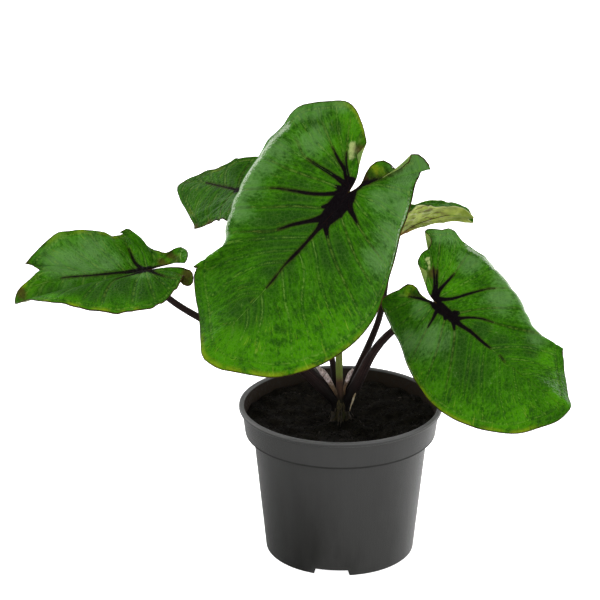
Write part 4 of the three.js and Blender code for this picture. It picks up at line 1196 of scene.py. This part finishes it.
def crumb_tree():
    """Crumbs strewn over a surface, uneven in size and turn."""
    tree = Tree("crumbs_on_soil", Count="count", Size="size", Length="size", Reach="size",
                Seed="count", Finish="finish")
    seed = tree.input("Seed")
    points = tree.add(
        "GeometryNodeDistributePointsOnFaces", {"distribute_method": "RANDOM"},
        {"Mesh": tree.geometry, "Density": tree.input("Count") / (math.pi * (SOIL_RADIUS * MM)**2),
         "Seed": seed}, output="Points")
    distance = tree.length(tree.add("GeometryNodeInputPosition"))
    clear = tree.add("FunctionNodeCompare", {"operation": "LESS_THAN"},
                     {0: distance, 1: tree.input("Reach")})
    ball = tree.add("GeometryNodeMeshIcoSphere", None, {"Radius": 0.5, "Subdivisions": 1})
    turn = tree.add("FunctionNodeRandomValue", {"data_type": "FLOAT_VECTOR"},
                    {0: (0, 0, 0), 1: (6.28, 6.28, 6.28), "Seed": seed})
    draw = tree.add("FunctionNodeRandomValue", {"data_type": "FLOAT"},
                    {2: 0.0, 3: 1.0, "Seed": seed}, output=1)
    width = tree.math("MULTIPLY_ADD", draw**3.0, 1.1, 0.45) * tree.input("Size")
    scale = tree.vector(width * tree.input("Length"), width, width * 0.72)
    return tree.finish(tree.add("GeometryNodeInstanceOnPoints", None,
                                {"Points": points, "Selection": clear, "Instance": ball,
                                 "Rotation": turn, "Scale": scale}))


def soil_pieces():
    soil = FINISHES["potting_soil"]
    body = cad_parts["soil"]
    body.data.materials.clear()
    body.data.materials.append(soil)
    top = soil_top_piece(soil)
    crumbs = crumb_tree()
    loose = crumbs.grow("soil_crumbs", duplicate(top), Count=CRUMB_COUNT, Size=CRUMB_SIZE * MM,
                        Length=1.0, Reach=CRUMB_REACH * MM, Seed=4, Finish=soil)
    splinters = crumbs.grow("bark_splinters", duplicate(top), Count=SPLINTER_COUNT,
                            Size=SPLINTER_SIZE * MM, Length=5.0, Reach=SPLINTER_REACH * MM, Seed=9,
                            Finish=FINISHES["bark"])
    for piece in (top, loose, splinters):
        settle(piece, "soil")


def duplicate(piece):
    return linked(piece.name, piece.data.copy())


def rootlet_piece():
    """Fine dry fibres that hang from the foot of the crown to the soil."""
    draw = np.random.default_rng(12)
    steps = np.linspace(0, 1, 9)
    paths = []
    for k in range(ROOTLET_COUNT):
        turn = math.radians(-160 + 310 * draw.random())
        start = draw.uniform(4.6, 5.4)
        length = draw.uniform(0.4, 2.2) + (3.5 if k % 9 == 0 else 0)
        heading = turn + draw.uniform(-0.25, 0.25) * steps
        distance = start + length * steps**1.6
        x = distance * np.cos(heading)
        y = distance * np.sin(heading) + CROWN_Y
        z = soil_height(x, y) + 0.15 + draw.uniform(3.5, 9) * (1 - steps)**0.9
        paths.append((np.stack([x, y, z], axis=1), np.linspace(0.3, 0.12, len(steps))))
    settle(rods("rootlets", paths, 5, FINISHES["rootlet"]), "crown")


def pot_tree():
    """Pot turned from its profile, with drain channels and holes cut through foot and floor."""
    sizes = ("Length", "Housing", "Width", "Narrowing", "Height", "Inner", "Hole", "HoleAt", "Wall",
             "First")
    tree = Tree("turned_pot", Segments="count", Profile="count", Finish="finish",
                **dict.fromkeys(sizes, "size"))
    position = tree.add("GeometryNodeInputPosition")
    grid = tree.add("GeometryNodeMeshGrid", None,
                    {"Size X": 1.0, "Size Y": 1.0, "Vertices X": tree.input("Segments"),
                     "Vertices Y": tree.input("Profile")})
    turn = tree.math("MULTIPLY_ADD", tree.axis(position, 0), 2 * math.pi, math.pi)
    profile = tree.add("GeometryNodeMeshToCurve", None, {0: tree.geometry})
    spot = tree.add("GeometryNodeSampleCurve", {"mode": "FACTOR"},
                    {"Curves": profile, "Factor": tree.axis(position, 1) + 0.5}, output="Position")
    radius = tree.axis(spot, 0)
    turned = tree.vector(radius * tree.math("COSINE", turn), radius * tree.math("SINE", turn),
                         tree.axis(spot, 2))
    shell = tree.add("GeometryNodeSetPosition", None, {"Geometry": grid, "Position": turned})
    shell = tree.add("GeometryNodeMergeByDistance", None, {"Geometry": shell, "Distance": 2e-6})

    def bar(extra, length, lowest):
        """Radial bar with sloping sides, larger by extra wall thicknesses but for its far end."""
        more = tree.input("Wall") * extra
        long = more + tree.input(length)
        wide = tree.math("MULTIPLY_ADD", more, 2.0, tree.input("Width"))
        high = (tree.input("Height") + more) * 2.0
        box = tree.add("GeometryNodeMeshCube", None, {"Size": tree.vector(long, wide, high)})
        level = tree.math("MAXIMUM", tree.axis(position, 2), lowest)
        slope = 1.0 - level / tree.input("Height") * tree.input("Narrowing")
        start = tree.axis(position, 0) + tree.input("Inner") - more
        moved = tree.vector(tree.math("MULTIPLY_ADD", long, 0.5, start),
                            tree.axis(position, 1) * slope, level)
        return tree.add("GeometryNodeSetPosition", None, {"Geometry": box, "Position": moved})

    def round_the_foot(shape):
        """Copies of a shape about the axis, one for each channel."""
        spots = tree.add("GeometryNodeMeshLine", None,
                         {"Count": CHANNEL_COUNT, "Offset": (0, 0, 0)})
        turn = tree.math("MULTIPLY_ADD", tree.add("GeometryNodeInputIndex"),
                         2 * math.pi / CHANNEL_COUNT, tree.input("First"))
        copies = tree.add("GeometryNodeInstanceOnPoints", None,
                          {"Points": spots, "Instance": shape, "Rotation": tree.vector(z=turn)})
        return tree.add("GeometryNodeRealizeInstances", None, {0: copies})

    def merged(operation, **meshes):
        return tree.add("GeometryNodeMeshBoolean", {"operation": operation, "solver": "EXACT"},
                        {key.replace("_", " "): mesh for key, mesh in meshes.items()})

    hole = tree.add("GeometryNodeMeshCylinder", None,
                    {"Vertices": 48, "Radius": tree.input("Hole"), "Depth": DRAIN_HOLE_DEPTH * MM})
    hole = tree.add("GeometryNodeTransform", None,
                    {"Geometry": hole, "Translation": tree.vector(tree.input("HoleAt"))})
    housed = merged("UNION", Mesh_2=[shell, round_the_foot(bar(1.0, "Housing", 0.4 * MM))])
    return tree.finish(merged("DIFFERENCE", Mesh_1=housed, Mesh_2=[
        round_the_foot(bar(0.0, "Length", -1.0)), round_the_foot(hole)]))


def rounded(before, at, after, size):
    """Points that round one corner of a section between its neighbours."""
    before, at, after = (np.array(point, float) for point in (before, at, after))
    start = at + unit(before - at) * size
    end = at + unit(after - at) * size
    t = np.linspace(0, 1, 5)[:, None]
    return ((1 - t)**2 * start + 2 * t * (1 - t) * at + t**2 * end).tolist()


def pot_profile():
    """Section of the wall and floor, from the axis under the floor to the axis above it."""
    step = POT_HEIGHT - BAND_HEIGHT
    lip = POT_HEIGHT + LIP_RISE
    floor_radius = BASE_RADIUS + (BODY_TOP_RADIUS - BASE_RADIUS) * FLOOR_THICKNESS / step
    corners = [
        ((0, 0), 0), ((BASE_RADIUS, 0), 1.0), ((BODY_TOP_RADIUS, step), 0.5),
        ((BAND_LOW_RADIUS - 0.1, step - 0.1), 1.3), ((BAND_TOP_RADIUS, lip - LIP_HEIGHT), 0.5),
        ((RIM_RADIUS, lip - LIP_HEIGHT + 0.6), 0.6), ((RIM_RADIUS, lip), 0.8),
        ((BAND_TOP_RADIUS - 1.0, lip), 0.5), ((BAND_LOW_RADIUS - POT_WALL, step + POT_WALL), 0.5),
        ((BODY_TOP_RADIUS - POT_WALL, step + POT_WALL), 0.5),
        ((floor_radius - POT_WALL, FLOOR_THICKNESS), 0.8), ((0, FLOOR_THICKNESS), 0),
    ]
    points = [corners[0][0]]
    for (before, _), (here, size), (after, _) in zip(corners, corners[1:], corners[2:]):
        points.extend(rounded(before, here, after, size))
    points.append(corners[-1][0])
    return [(radius, 0, height) for radius, height in points]


def pot_piece():
    section = pot_profile()
    base = wire("pot_section", section, [(i, i + 1) for i in range(len(section) - 1)])
    sizes = dict(Length=CHANNEL_LENGTH, Housing=BASE_RADIUS - 2 - CHANNEL_INNER_RADIUS,
                 Width=CHANNEL_WIDTH, Height=CHANNEL_HEIGHT, Inner=CHANNEL_INNER_RADIUS,
                 Hole=DRAIN_HOLE_RADIUS, HoleAt=DRAIN_HOLE_AT, Wall=POT_WALL)
    pot = pot_tree().grow("pot_shell", base, Segments=POT_SEGMENTS + 1, Profile=PROFILE_STEPS,
                          Narrowing=1 - CHANNEL_TOP_WIDTH / CHANNEL_WIDTH,
                          First=math.radians(FIRST_CHANNEL_ANGLE), Finish=FINISHES["pot_plastic"],
                          **{key: size * MM for key, size in sizes.items()})
    settle(pot, "pot", "pot")


def square(x, y, z, half):
    """Corners of a level square."""
    return [(x - half, y - half, z), (x + half, y - half, z), (x + half, y + half, z),
            (x - half, y + half, z)]


def studio():
    """Pale floor with a low ring of wall round it, and a matt card beside the pot that only its
    shine sees."""
    finish = Finish("pale_floor")
    colour = finish.layers("fbfbfb", (finish.noise(finish.place(), 3).between(0.3, 0.7), "ffffff"))
    material = finish.done(finish.surface(Base_Color=colour, Roughness=0.9, Emission_Color=colour,
                                          Emission_Strength=FLOOR_GLOW))
    floor = staged("floor", square(0, 0, 0, FLOOR_REACH), [(0, 1, 2, 3)], material)
    floor.visible_diffuse = False

    turn = np.linspace(0, 2 * math.pi, WALL_SIDES, endpoint=False)
    ring = WALL_RADIUS * np.stack([np.cos(turn), np.sin(turn), 0 * turn], axis=1)
    here = np.arange(WALL_SIDES)
    after = np.roll(here, -1)
    panels = np.stack([after, here, here + WALL_SIDES, after + WALL_SIDES], axis=1)
    staged("studio_wall", np.vstack([ring, ring + (0, 0, WALL_HEIGHT)]).tolist(), panels.tolist(),
           material)

    card = staged("matt_card", square(*MATT_CARD), [(0, 1, 2, 3)], card_paper())
    card.visible_camera = card.visible_diffuse = card.visible_shadow = False


def staged(name, vertices, faces, material):
    """A piece of the studio, with its sizes in metres."""
    mesh = bpy.data.meshes.new(name)
    mesh.from_pydata(vertices, [], faces)
    mesh.materials.append(material)
    piece = linked(name, mesh)
    return piece


def camera_and_lights():
    elevation = math.radians(VIEW_ELEVATION)
    target = Vector(VIEW_TARGET) * MM
    back = Vector((0, -math.cos(elevation), math.sin(elevation)))
    data = bpy.data.cameras.new("camera")
    data.sensor_width = 36
    data.lens = 144
    data.clip_end = 30
    camera = linked("camera", data)
    camera.location = target + back * VIEW_DISTANCE
    camera.rotation_euler = back.to_track_quat("Z", "Y").to_euler()
    bpy.context.scene.camera = camera

    world = bpy.data.worlds.new("studio")
    world.use_nodes = True
    background = world.node_tree.nodes["Background"]
    background.inputs["Color"].default_value = (1, 1, 1, 1)
    background.inputs["Strength"].default_value = SURROUND_LIGHT
    bpy.context.scene.world = world
    bpy.context.scene.view_settings.view_transform = "Standard"
    for name, place, size, power in LIGHTS:
        data = bpy.data.lights.new(name, "AREA")
        data.size = size
        data.energy = power
        light = linked(name, data)
        light.location = place
        light.rotation_euler = (Vector(place) - target).to_track_quat("Z", "Y").to_euler()


FINISHES = dict(
    dark_vein=vein_finish("dark_vein", "120a0e", "20120f"),
    pale_vein=vein_finish("pale_vein", "35700c", "6f9c40", 0.4, 0.66),
    margin=vein_finish("leaf_margin", "24140f", "4a3c12"),
    old_margin=vein_finish("old_leaf_margin", "a8b068", "d4d8a0"),
    dark_stalk=stalk_finish("dark_stalk", "120b0b", "3a2624", "0b0807", 94, 116),
    green_stalk=stalk_finish("green_stalk", "6c7c34", "8c9c54", "6a4c40", 103, 110),
    sheath_heart=stalk_finish("sheath_heart", "5e463a", "3c3024", "1c190e", 94, 102),
    pale_edge=fibre_finish("pale_edge", "d8ccb0", "9a8664"),
    sheath_lining=sheath_lining(),
    crown_skin=crown_skin(),
    potting_soil=potting_soil(),
    bark=fibre_finish("bark", "1c150f", "34291d"),
    rootlet=fibre_finish("rootlet", "1e1a10", "42392a"),
    pot_plastic=pot_plastic(),
)
top_finish = leaf_top()
underside = leaf_underside("leaf_underside", "5c8038", "7c9a44", 0.1)
# Old blade's underside: the yellow-green of its age, made brighter as painted glow of light through
# it.
old_underside = leaf_underside("old_leaf_underside", "92a83a", "cadc62", 0.8)

blades = [Blade(leaf) for leaf in LEAVES]
for blade in blades:
    below = old_underside if blade.leaf["name"] == "back_right" else underside
    vein_pieces(blade, *blade_piece(blade, top_finish, below))
for blade in blades:
    stalk_piece(blade)
sheath_pieces()
crown_piece()
soil_pieces()
rootlet_piece()
pot_piece()
studio()
camera_and_lights()
